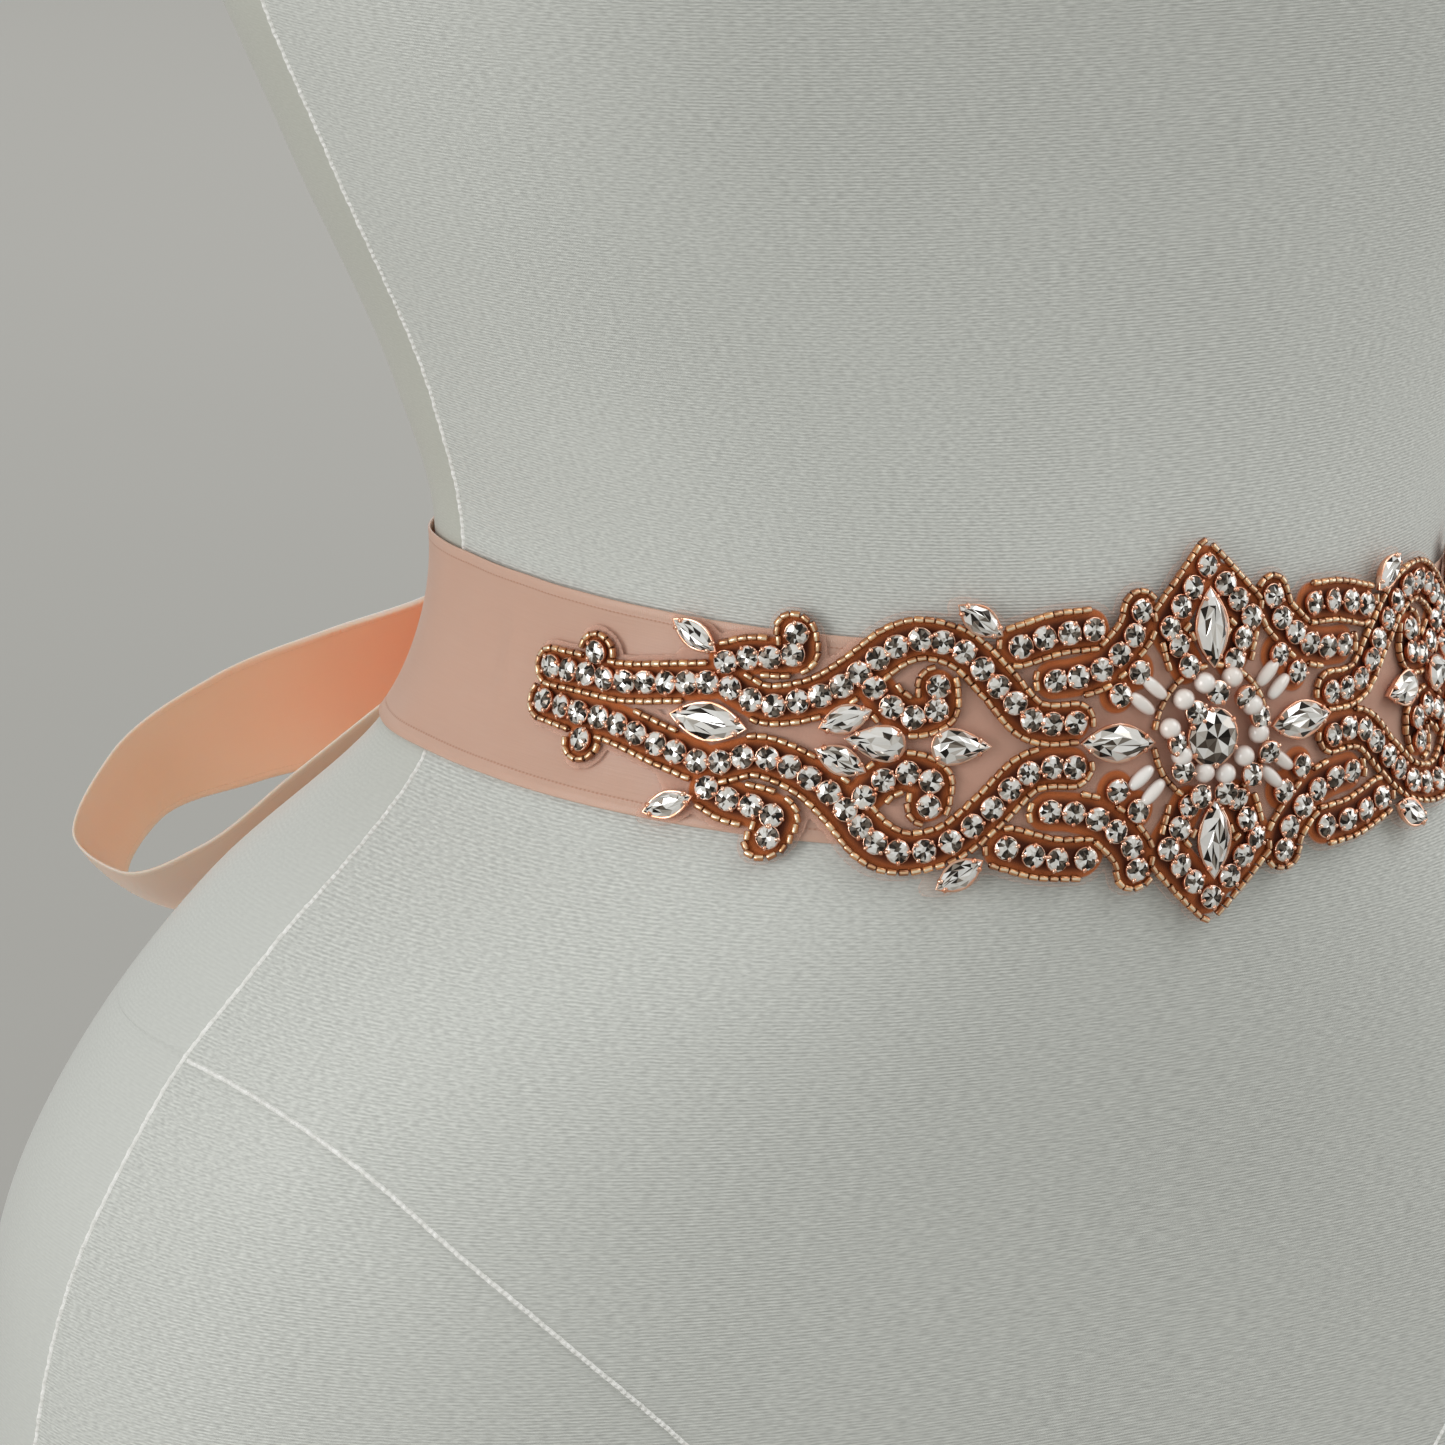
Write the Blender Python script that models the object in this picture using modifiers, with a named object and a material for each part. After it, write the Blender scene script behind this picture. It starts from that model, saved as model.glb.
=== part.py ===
"""A bridal sash on a limbless dress form: satin ribbon, a bow at the back and a rhinestone applique in front.

Metres, +Z up. The origin is on the floor at the middle of the base, and the front faces -Y.
"""

import math

import bpy
import numpy as np

# Cloth
RIBBON_WIDTH = 0.038
CLOTH = 0.001
GAP = 0.0003

# Dress form. Each section is a rounded oval, fuller than an ellipse, round the waist's middle.
WAIST_HEIGHT = 0.300
WAIST_SETBACK = -0.016
OVAL_POWER = 2 / 2.25
SIDE_RISE = 0.003
RISE_REACH = 0.060
ARM_PLANE = 0.155
ARM_PLANE_FROM = 0.120
BASE_THICKNESS = 0.025
# height above the waist, half width, depth in front, depth behind
FORM_SECTIONS = (
    (-0.275, 0.1720, 0.0900, 0.1160),
    (-0.200, 0.1870, 0.0970, 0.1210),
    (-0.150, 0.1910, 0.0990, 0.1150),
    (-0.100, 0.1830, 0.1010, 0.1010),
    (-0.050, 0.1490, 0.1040, 0.0770),
    (-0.019, 0.1120, 0.1040, 0.0580),
    (0.000, 0.1040, 0.1020, 0.0530),
    (0.019, 0.1030, 0.0995, 0.0510),
    (0.050, 0.1130, 0.0940, 0.0530),
    (0.100, 0.1380, 0.0935, 0.0600),
    (0.150, 0.1610, 0.1010, 0.0700),
    (0.200, 0.1710, 0.1120, 0.0810),
    (0.250, 0.1720, 0.1060, 0.0900),
    (0.300, 0.1640, 0.0880, 0.0940),
    (0.340, 0.1420, 0.0680, 0.0860),
    (0.368, 0.1050, 0.0550, 0.0740),
    (0.385, 0.0720, 0.0490, 0.0640),
    (0.400, 0.0580, 0.0470, 0.0580),
    (0.450, 0.0530, 0.0440, 0.0520),
)
# from height, to height, rows between them
FORM_ROWS = (
    (-0.275, -0.095, 6),
    (-0.095, -RIBBON_WIDTH / 2, 5),
    (-RIBBON_WIDTH / 2, RIBBON_WIDTH / 2, 6),
    (RIBBON_WIDTH / 2, 0.057, 3),
    (0.057, 0.270, 7),
    (0.270, 0.400, 9),
    (0.400, 0.450, 1),
)
FORM_COLUMNS = 60

# Applique, the same on both sides of its middle and above and below it
APPLIQUE_STAND = CLOTH + 0.0008
APPLIQUE_WALL = 0.0010
APPLIQUE_STATIONS = 104
APPLIQUE_OUTER_ROWS = 20
APPLIQUE_INNER_ROWS = 5
# distance from the middle, half height, both in mm
APPLIQUE_OUTLINE = (
    (0.0, 36.5),
    (3.5, 32.5),
    (10.5, 24.8),
    (12.5, 25.0),
    (15.2, 28.4),
    (18.5, 25.3),
    (21.0, 24.6),
    (26.0, 26.2),
    (33.0, 25.2),
    (40.0, 23.8),
    (45.5, 27.6),
    (50.0, 25.6),
    (57.0, 24.4),
    (63.0, 22.8),
    (70.0, 16.8),
    (76.0, 12.6),
    (78.5, 20.6),
    (81.0, 24.0),
    (84.5, 19.8),
    (92.0, 17.8),
    (97.0, 18.4),
    (101.5, 21.0),
    (106.5, 16.4),
    (111.0, 10.6),
    (116.5, 10.2),
    (121.0, 12.8),
    (125.5, 9.2),
    (132.0, 7.8),
    (136.5, 3.6),
)
# Rows of round stones, each as places from the middle in mm: along, up
STONE_ROWS = (
    ((131.5, 3.2), (124.0, 3.6), (115.0, 3.8), (105.0, 6.0), (97.0, 7.4)),
    ((93.0, 7.0), (86.0, 4.9), (77.0, 7.4), (70.0, 12.2), (63.0, 18.2), (57.0, 19.7)),
    ((57.0, 19.7), (50.0, 17.6), (44.0, 11.6), (38.5, 5.2), (34.0, 4.0), (29.0, 4.1)),
    ((94.0, 12.0), (89.0, 13.8), (83.5, 14.4), (80.5, 16.0), (80.5, 19.4)),
    ((66.5, 10.2), (63.5, 6.8), (59.5, 5.2), (55.2, 6.8), (55.0, 11.0)),
    ((39.7, 18.7), (32.0, 20.8), (25.0, 21.3)),
    ((33.0, 12.2), (28.0, 12.7), (22.5, 14.6), (16.5, 20.0), (14.8, 24.0)),
    ((0.0, 31.0), (3.0, 27.5), (9.0, 20.6)),
    ((9.0, 20.6), (7.3, 17.0), (5.0, 13.4)),
    ((20.2, 9.2), (15.7, 7.2)),
    ((15.9, 12.9), (12.9, 9.9)),
    ((121.0, 8.2), (119.0, 8.6)),
)
ROW_HEIGHT = 1.7
ROW_TOP, ROW_FOOT = 2.0, 3.8
NET_BORDER = 1.2
# along, up, length, width, tilt in degrees, height above the net: all from the middle, in mm
LARGE_STONES = (
    (0.0, 0.0, 19.0, 19.0, 0.0, 2.4),
    (0.0, 0.0, 10.0, 10.0, 0.0, 3.6),
    (0.0, 19.8, 15.0, 7.0, 90.0, 2.8),
    (20.6, 0.0, 15.0, 7.0, 0.0, 2.8),
    (96.4, 0.0, 15.0, 7.0, 0.0, 2.8),
    (71.6, 3.8, 10.0, 5.0, -24.0, 2.4),
    (66.0, 0.0, 11.0, 6.5, 0.0, 2.4),
    (50.4, 0.0, 11.0, 6.5, 0.0, 2.4),
    (46.6, 23.4, 10.0, 5.0, 30.0, 2.4),
    (99.8, 16.4, 10.0, 4.6, 28.0, 2.4),
)
# shares of a large stone's half size
STONE_TOP, STONE_FOOT = 0.85, 1.35

# Bow
KNOT_HALF_WIDTH = 0.015
KNOT_STAND = 0.0010
KNOT_OVAL_POWER = 0.6
# height above the waist, half width, half depth
KNOT_SECTIONS = (
    (-0.0200, 0.0110, 0.0050),
    (-0.0185, 0.0138, 0.0074),
    (-0.0140, 0.0149, 0.0088),
    (-0.0060, 0.0142, 0.0090),
    (0.0060, 0.0142, 0.0090),
    (0.0140, 0.0149, 0.0088),
    (0.0185, 0.0138, 0.0074),
    (0.0200, 0.0110, 0.0050),
)
KNOT_COLUMNS = 24
STRIP_COLUMNS = 5
LOOP_SWEEP = math.radians(25)
LOOP_ROWS = 36
# along, back, rise, the width's lean forward and its swing outward in degrees, width: the strand above, the tip,
# the strand below
LOOP_PATH = (
    (0.0032, 0.0035, -0.002, 6, 0, 0.014),
    (0.0115, 0.0070, -0.004, 14, 6, 0.020),
    (0.027, 0.0090, -0.017, 30, 20, 0.031),
    (0.047, 0.0045, -0.029, 37, 27, 0.038),
    (0.066, 0.0025, -0.036, 34, 26, 0.038),
    (0.088, 0.0025, -0.044, 41, 25, 0.038),
    (0.109, 0.0005, -0.0565, 55, 22, 0.038),
    (0.1155, -0.0055, -0.0695, 61, 22, 0.038),
    (0.106, -0.0125, -0.074, 63, 22, 0.038),
    (0.090, -0.0165, -0.067, 64, 23, 0.038),
    (0.072, -0.0165, -0.0525, 62, 23, 0.038),
    (0.051, -0.0150, -0.0345, 60, 18, 0.038),
    (0.030, -0.0110, -0.0175, 52, 8, 0.031),
    (0.012, -0.0062, -0.0065, 24, 0, 0.020),
    (0.0004, -0.0035, -0.003, 6, 0, 0.014),
)
TAIL_ROWS = 24
# height above the waist, middle's distance from the centre line, width, distance from the form
TAIL_PATH = (
    (-0.0200, 0.0085, 0.014, 0.0090),
    (-0.0350, 0.0110, 0.020, 0.0060),
    (-0.0550, 0.0190, 0.033, 0.0030),
    (-0.0850, 0.0270, 0.038, 0.0018),
    (-0.1300, 0.0350, 0.038, 0.0022),
    (-0.1800, 0.0420, 0.038, 0.0016),
    (-0.2200, 0.0470, 0.038, 0.0020),
)
TAIL_SLANT = 0.022

# Stand
BASE_HALF_LENGTH = 0.165
BASE_HALF_DEPTH = 0.092
NECK_CAP_RADIUS = 0.046
NECK_CAP_THICKNESS = 0.012
NECK_CAP_SETBACK = 0.004
ARM_PLATE_HEIGHT = 0.228
ARM_PLATE_HALF_WIDTH = 0.042
ARM_PLATE_HALF_HEIGHT = 0.058
ARM_PLATE_THICKNESS = 0.006
ARM_PLATE_FORWARD = 0.004
PLATE_EDGE = 0.004

# name: colour, roughness, metallic
MATERIALS = {
    "jersey": ((0.55, 0.55, 0.52), 0.7, 0.0),
    "satin": ((0.72, 0.40, 0.27), 0.35, 0.0),
    "rose_gold": ((0.80, 0.45, 0.28), 0.25, 0.8),
    "beech": ((0.45, 0.28, 0.15), 0.45, 0.0),
}


def smooth(table, column, at):
    """A table's column at these values of its first one, on a smooth curve through its rows."""
    rows = np.array(table, float)
    x, y = rows[:, 0], rows[:, column]
    slope = np.gradient(y, x)
    k = np.clip(np.searchsorted(x, at) - 1, 0, len(x) - 2)
    step = x[k + 1] - x[k]
    t = (at - x[k]) / step
    rising = (3 - 2 * t) * t * t
    bend = t * (1 - t) * step
    return y[k] * (1 - rising) + y[k + 1] * rising + bend * ((1 - t) * slope[k] - t * slope[k + 1])


def form_surface(angle, height):
    """The form's outside, at angles from the front towards +X and heights above the waist."""
    side, fore = np.sin(angle), np.cos(angle)
    depth = np.where(fore > 0, smooth(FORM_SECTIONS, 2, height), smooth(FORM_SECTIONS, 3, height))
    x = smooth(FORM_SECTIONS, 1, height) * np.sign(side) * np.abs(side) ** OVAL_POWER
    x = np.where(height > ARM_PLANE_FROM, np.clip(x, -ARM_PLANE, ARM_PLANE), x)
    y = WAIST_SETBACK - depth * np.sign(fore) * np.abs(fore) ** OVAL_POWER
    rise = SIDE_RISE * side**2 * np.exp(-((height / RISE_REACH) ** 2))
    return np.stack(np.broadcast_arrays(x, y, WAIST_HEIGHT + height + rise), -1)


def on_form(angle, height, out):
    """Points at this distance from the form's outside, along its normal."""
    step = 1e-4
    around = form_surface(angle + step, height) - form_surface(angle - step, height)
    upward = form_surface(angle, height + step) - form_surface(angle, height - step)
    normal = np.cross(around, upward)
    normal /= np.linalg.norm(normal, axis=-1, keepdims=True)
    return form_surface(angle, height) + normal * np.asarray(out)[..., None]


def angle_of_arc(arc):
    """The angle round the form at this length of arc from the front, measured at the waist."""
    angles = np.linspace(-math.pi, math.pi, 1441)
    ring = form_surface(angles, np.zeros_like(angles))
    lengths = np.concatenate([[0.0], np.cumsum(np.linalg.norm(np.diff(ring, axis=0), axis=1))])
    return np.interp(arc, lengths - lengths[len(angles) // 2], angles)


def material(name):
    if name in bpy.data.materials:
        return bpy.data.materials[name]
    colour, roughness, metallic = MATERIALS[name]
    made = bpy.data.materials.new(name)
    made.use_nodes = True
    shader = made.node_tree.nodes["Principled BSDF"]
    shader.inputs["Base Color"].default_value = (*colour, 1.0)
    shader.inputs["Roughness"].default_value = roughness
    shader.inputs["Metallic"].default_value = metallic
    return made


def mesh_object(name, points, faces, look):
    mesh = bpy.data.meshes.new(name)
    mesh.from_pydata([tuple(map(float, point)) for point in points], [], faces)
    mesh.materials.append(material(look))
    made = bpy.data.objects.new(name, mesh)
    parts.objects.link(made)
    return made


def quads(rows, columns, start=0, wrapped=False):
    """Faces between neighbouring points of a grid kept row by row."""
    last = columns if wrapped else columns - 1
    found = []
    for row in range(rows - 1):
        for column in range(last):
            right = (column + 1) % columns
            low, high = start + row * columns, start + (row + 1) * columns
            found.append((low + column, low + right, high + right, high + column))
    return found


def lofted(name, rings, look):
    """A closed solid through rings of points, each turning to the left seen from above, from the bottom up."""
    rows, columns = rings.shape[:2]
    faces = quads(rows, columns, wrapped=True)
    faces.append(tuple(reversed(range(columns))))
    faces.append(tuple(range((rows - 1) * columns, rows * columns)))
    return mesh_object(name, rings.reshape(-1, 3), faces, look)


def cloth_strip(name, grid, look, side, wrapped=False):
    """An open grid of points given the cloth's thickness, on its outside (1) or on both sides (0)."""
    rows, columns = grid.shape[:2]
    made = mesh_object(name, grid.reshape(-1, 3), quads(rows, columns, wrapped=wrapped), look)
    thickness = made.modifiers.new("cloth", "SOLIDIFY")
    thickness.thickness = CLOTH
    thickness.offset = side
    return made


def rounded_plate(name, half_x, half_y, thickness, look):
    """A flat oval plate with rounded edges, lying at the origin."""
    bpy.ops.mesh.primitive_cylinder_add(vertices=40, radius=1, depth=1)
    made = bpy.context.object
    made.name = name
    made.data.name = name
    made.data.transform(np.diag([half_x, half_y, thickness, 1.0]))
    made.data.materials.append(material(look))
    edge = made.modifiers.new("edge", "BEVEL")
    edge.width = min(PLATE_EDGE, thickness / 3)
    edge.segments = 1
    edge.limit_method = "ANGLE"
    for collection in made.users_collection:
        collection.objects.unlink(made)
    parts.objects.link(made)
    return made


def build_form():
    heights = [FORM_ROWS[0][0]]
    for low, high, steps in FORM_ROWS:
        heights.extend(np.linspace(low, high, steps + 1)[1:])
    angles = np.arange(FORM_COLUMNS) * math.tau / FORM_COLUMNS
    angle, height = np.meshgrid(angles, np.array(heights))
    lofted("form_torso", form_surface(angle, height), "jersey")
    top = WAIST_HEIGHT + FORM_ROWS[-1][1]
    cap = rounded_plate("form_neck_cap", NECK_CAP_RADIUS, NECK_CAP_RADIUS, NECK_CAP_THICKNESS, "beech")
    cap.location = (0, WAIST_SETBACK + NECK_CAP_SETBACK, top + GAP + NECK_CAP_THICKNESS / 2)
    base = rounded_plate("form_base", BASE_HALF_LENGTH, BASE_HALF_DEPTH, BASE_THICKNESS - GAP, "beech")
    base.location = (0, 0, (BASE_THICKNESS - GAP) / 2)
    for name, side in (("form_arm_plate_left", 1), ("form_arm_plate_right", -1)):
        plate = rounded_plate(
            name, ARM_PLATE_HALF_HEIGHT, ARM_PLATE_HALF_WIDTH, ARM_PLATE_THICKNESS, "beech"
        )
        plate.rotation_euler = (0, math.pi / 2, 0)
        out = ARM_PLANE + GAP + ARM_PLATE_THICKNESS / 2
        plate.location = (side * out, WAIST_SETBACK - ARM_PLATE_FORWARD, WAIST_HEIGHT + ARM_PLATE_HEIGHT)


def build_waist_ribbon():
    angles = np.arange(FORM_COLUMNS) * math.tau / FORM_COLUMNS
    heights = np.linspace(-RIBBON_WIDTH / 2, RIBBON_WIDTH / 2, 7)
    angle, height = np.meshgrid(angles, heights)
    cloth_strip("ribbon_waist", on_form(angle, height, np.full(angle.shape, GAP)), "satin", 1, wrapped=True)


def plateau(apart, top, foot):
    """1 out to the top's edge, then falling evenly to 0 at the foot."""
    return np.clip((foot - apart) / (foot - top), 0, 1)


def stone_relief(along, up):
    """How far the stones stand out of the net, in mm, at places given in mm from the middle."""
    along, up = np.abs(along), np.abs(up)
    relief = np.zeros_like(along)
    for row in STONE_ROWS:
        for (x0, y0), (x1, y1) in zip(row, row[1:]):
            dx, dy = x1 - x0, y1 - y0
            t = np.clip(((along - x0) * dx + (up - y0) * dy) / (dx * dx + dy * dy), 0, 1)
            apart = np.hypot(along - x0 - t * dx, up - y0 - t * dy)
            relief = np.maximum(relief, ROW_HEIGHT * plateau(apart, ROW_TOP, ROW_FOOT))
    for x, y, length, width, tilt, rise in LARGE_STONES:
        turn = math.radians(tilt)
        lengthwise = (along - x) * math.cos(turn) + (up - y) * math.sin(turn)
        crosswise = (up - y) * math.cos(turn) - (along - x) * math.sin(turn)
        apart = np.hypot(lengthwise / (length / 2), crosswise / (width / 2))
        relief = np.maximum(relief, rise * plateau(apart, STONE_TOP, STONE_FOOT))
    return relief


def build_applique():
    reach = APPLIQUE_OUTLINE[-1][0]
    outline = np.array(APPLIQUE_OUTLINE)
    along = np.linspace(-reach, reach, APPLIQUE_STATIONS + 1)
    half_height = np.interp(np.abs(along), outline[:, 0], outline[:, 1])
    layers = []
    for rows, raised in ((APPLIQUE_INNER_ROWS, False), (APPLIQUE_OUTER_ROWS, True)):
        up = np.linspace(-1, 1, rows + 1)[:, None] * half_height
        place = np.broadcast_to(along, up.shape)
        out = np.full(up.shape, APPLIQUE_STAND)
        if raised:
            border = np.clip((half_height - np.abs(up)) / NET_BORDER, 0, 1)
            out = out + APPLIQUE_WALL + stone_relief(place, up) * border / 1000
        layers.append(on_form(angle_of_arc(place / 1000), up / 1000, out))
    inner, outer = layers
    columns = len(along)
    start = inner.shape[0] * columns
    faces = [tuple(reversed(face)) for face in quads(inner.shape[0], columns)]
    faces += quads(outer.shape[0], columns, start)
    inner_top, outer_top = start - columns, start + (outer.shape[0] - 1) * columns
    for column in range(columns - 1):
        faces.append((column, column + 1, start + column + 1, start + column))
        faces.append((outer_top + column, outer_top + column + 1, inner_top + column + 1, inner_top + column))
    for column, flipped in ((0, True), (columns - 1, False)):
        rim = [row * columns + column for row in range(inner.shape[0])]
        rim += [start + row * columns + column for row in reversed(range(outer.shape[0]))]
        faces.append(tuple(reversed(rim)) if flipped else tuple(rim))
    mesh_object("applique", np.concatenate([inner.reshape(-1, 3), outer.reshape(-1, 3)]), faces, "rose_gold")


def knot_middle(height):
    """The middle of the bow knot at this height above the waist, just clear of the ribbon behind."""
    depth = max(row[2] for row in KNOT_SECTIONS)
    return on_form(np.array(math.pi), np.array(height), np.array(CLOTH + KNOT_STAND + depth))


def build_knot():
    rows = np.array(KNOT_SECTIONS)
    angles = np.arange(KNOT_COLUMNS) * math.tau / KNOT_COLUMNS
    side, fore = np.sin(angles), -np.cos(angles)
    rings = []
    for height, half_width, half_depth in rows:
        x = half_width * np.sign(side) * np.abs(side) ** KNOT_OVAL_POWER
        y = half_depth * np.sign(fore) * np.abs(fore) ** KNOT_OVAL_POWER
        rings.append(np.stack([x, y, np.zeros_like(x)], -1) + knot_middle(height))
    lofted("bow_knot", np.array(rings), "satin")


def ribbon_along(name, middles, widthwise, widths, flipped):
    """A strip of ribbon round a path of middles, each with the direction across it and its width."""
    across = np.linspace(-0.5, 0.5, STRIP_COLUMNS + 1)
    if flipped:
        across = across[::-1]
    grid = middles[:, None] + widthwise[:, None] * (widths[:, None] * across)[..., None]
    cloth_strip(name, grid, "satin", 0)


def build_loops():
    rows = np.array(LOOP_PATH)
    spacing = np.linalg.norm(np.diff(rows[:, :3], axis=0), axis=1)
    walked = np.concatenate([[0.0], np.cumsum(spacing)])
    table = np.column_stack([walked, rows])
    at = np.linspace(0, walked[-1], LOOP_ROWS + 1)
    along, back, rise, lean, swing, width = (smooth(table, column, at)[:, None] for column in range(1, 7))
    lean, swing = np.radians(lean), np.radians(swing)
    for name, side in (("bow_loop_left", 1), ("bow_loop_right", -1)):
        outward = np.array([side * math.cos(LOOP_SWEEP), math.sin(LOOP_SWEEP), 0.0])
        behind = np.array([-side * math.sin(LOOP_SWEEP), math.cos(LOOP_SWEEP), 0.0])
        upward = np.array([0.0, 0.0, 1.0])
        start = knot_middle(0.0) + np.array([side * (KNOT_HALF_WIDTH + 2 * GAP), 0.0, 0.0])
        middles = start + along * outward + back * behind + rise * upward
        forward = np.gradient(middles, axis=0)
        forward /= np.linalg.norm(forward, axis=1, keepdims=True)
        leaning = np.sin(swing) * outward - np.cos(swing) * behind
        widthwise = np.cos(lean) * upward + np.sin(lean) * leaning
        widthwise -= np.sum(widthwise * forward, axis=1, keepdims=True) * forward
        widthwise /= np.linalg.norm(widthwise, axis=1, keepdims=True)
        ribbon_along(name, middles, widthwise, width[:, 0], flipped=side > 0)


def build_tails():
    across = np.linspace(-0.5, 0.5, STRIP_COLUMNS + 1)
    table = np.array(TAIL_PATH)[::-1]
    down = np.linspace(0, 1, TAIL_ROWS + 1)[:, None]
    for name, side in (("tail_left", 1), ("tail_right", -1)):
        bottom = TAIL_PATH[-1][0] - TAIL_SLANT * across
        height = TAIL_PATH[0][0] * (1 - down) + bottom * down
        known = np.clip(height, TAIL_PATH[-1][0], TAIL_PATH[0][0])
        middle, width, out = (smooth(table, column, known) for column in (1, 2, 3))
        x = side * (middle - width * across)
        half_width = smooth(FORM_SECTIONS, 1, height)
        angle = math.pi - np.arcsin(np.clip(np.abs(x) / half_width, 0, 1) ** (1 / OVAL_POWER)) * np.sign(x)
        grid = on_form(angle, height, out)
        cloth_strip(name, grid if side > 0 else grid[:, ::-1], "satin", 0)


for old in list(bpy.data.objects):
    bpy.data.objects.remove(old)
parts = bpy.data.collections.new("bridal sash")
bpy.context.scene.collection.children.link(parts)
build_form()
build_waist_ribbon()
build_applique()
build_knot()
build_loops()
build_tails()
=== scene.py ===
"""The looks of a bridal sash on a dress form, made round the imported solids."""

import math

import bpy
import numpy as np
from mathutils import Matrix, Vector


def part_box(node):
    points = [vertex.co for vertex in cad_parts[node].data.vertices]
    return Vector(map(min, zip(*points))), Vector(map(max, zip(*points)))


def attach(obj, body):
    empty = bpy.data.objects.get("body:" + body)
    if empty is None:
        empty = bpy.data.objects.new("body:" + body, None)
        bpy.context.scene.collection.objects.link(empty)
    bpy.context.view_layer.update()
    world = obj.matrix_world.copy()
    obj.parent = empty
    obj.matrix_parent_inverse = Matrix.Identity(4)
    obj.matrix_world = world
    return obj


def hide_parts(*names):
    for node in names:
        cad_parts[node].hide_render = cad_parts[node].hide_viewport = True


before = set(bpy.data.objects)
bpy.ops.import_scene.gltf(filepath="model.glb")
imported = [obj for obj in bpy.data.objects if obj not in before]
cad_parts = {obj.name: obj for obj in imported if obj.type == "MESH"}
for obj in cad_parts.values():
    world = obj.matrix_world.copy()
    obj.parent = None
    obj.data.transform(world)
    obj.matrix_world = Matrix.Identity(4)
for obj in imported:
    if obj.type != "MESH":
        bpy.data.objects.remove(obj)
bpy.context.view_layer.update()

# The dress form: a padded body with no limbs under a stretched off-white knit cover. The cover is sewn at
# the sides and across each hip. All that is worn is laid out on it, by an angle from the front and a height
# above the waist.
WAIST_HEIGHT = 0.300
WAIST_SETBACK = -0.016
OVAL_POWER = 2 / 2.25
SIDE_RISE = 0.003
RISE_REACH = 0.060
ARM_PLANE = 0.155
ARM_PLANE_FROM = 0.120
ARM_ROLL = 0.0012
# height above the waist, half width, depth in front, depth behind
FORM_SECTIONS = (
    (-0.275, 0.1720, 0.0900, 0.1160),
    (-0.200, 0.1870, 0.0970, 0.1210),
    (-0.150, 0.1910, 0.0990, 0.1150),
    (-0.100, 0.1830, 0.1010, 0.1010),
    (-0.050, 0.1490, 0.1040, 0.0770),
    (-0.019, 0.1120, 0.1040, 0.0580),
    (0.000, 0.1040, 0.1020, 0.0530),
    (0.019, 0.1030, 0.0995, 0.0510),
    (0.050, 0.1130, 0.0940, 0.0530),
    (0.100, 0.1380, 0.0935, 0.0600),
    (0.150, 0.1610, 0.1010, 0.0700),
    (0.200, 0.1710, 0.1120, 0.0810),
    (0.250, 0.1720, 0.1060, 0.0900),
    (0.300, 0.1640, 0.0880, 0.0940),
    (0.340, 0.1420, 0.0680, 0.0860),
    (0.368, 0.1050, 0.0550, 0.0740),
    (0.385, 0.0720, 0.0490, 0.0640),
    (0.400, 0.0580, 0.0470, 0.0580),
    (0.450, 0.0530, 0.0440, 0.0520),
)
# height above the waist, angle from the front in degrees
SIDE_SEAM = (
    (-0.275, 92.0),
    (-0.137, 89.2),
    (-0.112, 87.4),
    (-0.089, 86.1),
    (-0.070, 85.6),
    (-0.056, 84.6),
    (-0.042, 84.9),
    (-0.027, 87.0),
    (-0.010, 89.2),
    (0.010, 89.6),
    (0.024, 89.4),
    (0.038, 88.4),
    (0.055, 87.3),
    (0.083, 86.5),
    (0.118, 86.6),
    (0.200, 88.0),
    (0.300, 90.0),
    (0.400, 90.0),
    (0.450, 90.0),
)
# angle from the front in degrees, height above the waist
HIP_SEAM = (
    (5.0, -0.2600),
    (12.0, -0.2050),
    (20.0, -0.1580),
    (29.0, -0.1310),
    (38.8, -0.1094),
    (49.8, -0.0920),
    (57.3, -0.0828),
    (65.5, -0.0762),
    (75.6, -0.0716),
    (85.2, -0.0702),
    (90.0, -0.0702),
)
FORM_ROWS = 236
FORM_COLUMNS = 300


def smooth(table, column, at):
    """A table's column at these values of its first one, on a smooth curve through its rows."""
    rows = np.array(table, float)
    x, y = rows[:, 0], rows[:, column]
    slope = np.gradient(y, x)
    k = np.clip(np.searchsorted(x, at) - 1, 0, len(x) - 2)
    step = x[k + 1] - x[k]
    t = (at - x[k]) / step
    rising = (3 - 2 * t) * t * t
    bend = t * (1 - t) * step
    return y[k] * (1 - rising) + y[k + 1] * rising + bend * ((1 - t) * slope[k] - t * slope[k + 1])


def form_surface(angle, height):
    """Points on the cover at an angle from the front and a height above the waist."""
    side, fore = np.sin(angle), np.cos(angle)
    depth = np.where(fore > 0, smooth(FORM_SECTIONS, 2, height), smooth(FORM_SECTIONS, 3, height))
    x = smooth(FORM_SECTIONS, 1, height) * np.sign(side) * np.abs(side) ** OVAL_POWER
    rolled = ARM_PLANE - ARM_ROLL * np.logaddexp(0, (ARM_PLANE - np.abs(x)) / ARM_ROLL)
    x = np.where(height > ARM_PLANE_FROM, np.sign(x) * rolled, x)
    y = WAIST_SETBACK - depth * np.sign(fore) * np.abs(fore) ** OVAL_POWER
    rise = SIDE_RISE * side**2 * np.exp(-((height / RISE_REACH) ** 2))
    return np.stack(np.broadcast_arrays(x, y, WAIST_HEIGHT + height + rise), -1)


def unit(vectors):
    return vectors / np.linalg.norm(vectors, axis=-1, keepdims=True)


def directions_on_form(angle, height):
    """Unit vectors round the form towards +X, up it, and out of it."""
    step = 1e-4
    around = form_surface(angle + step, height) - form_surface(angle - step, height)
    upward = form_surface(angle, height + step) - form_surface(angle, height - step)
    return unit(around), unit(upward), unit(np.cross(around, upward))


def on_form(angle, height, out):
    """Points at this distance from the form's outside, along its normal."""
    return form_surface(angle, height) + directions_on_form(angle, height)[2] * np.asarray(out)[..., None]


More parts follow.
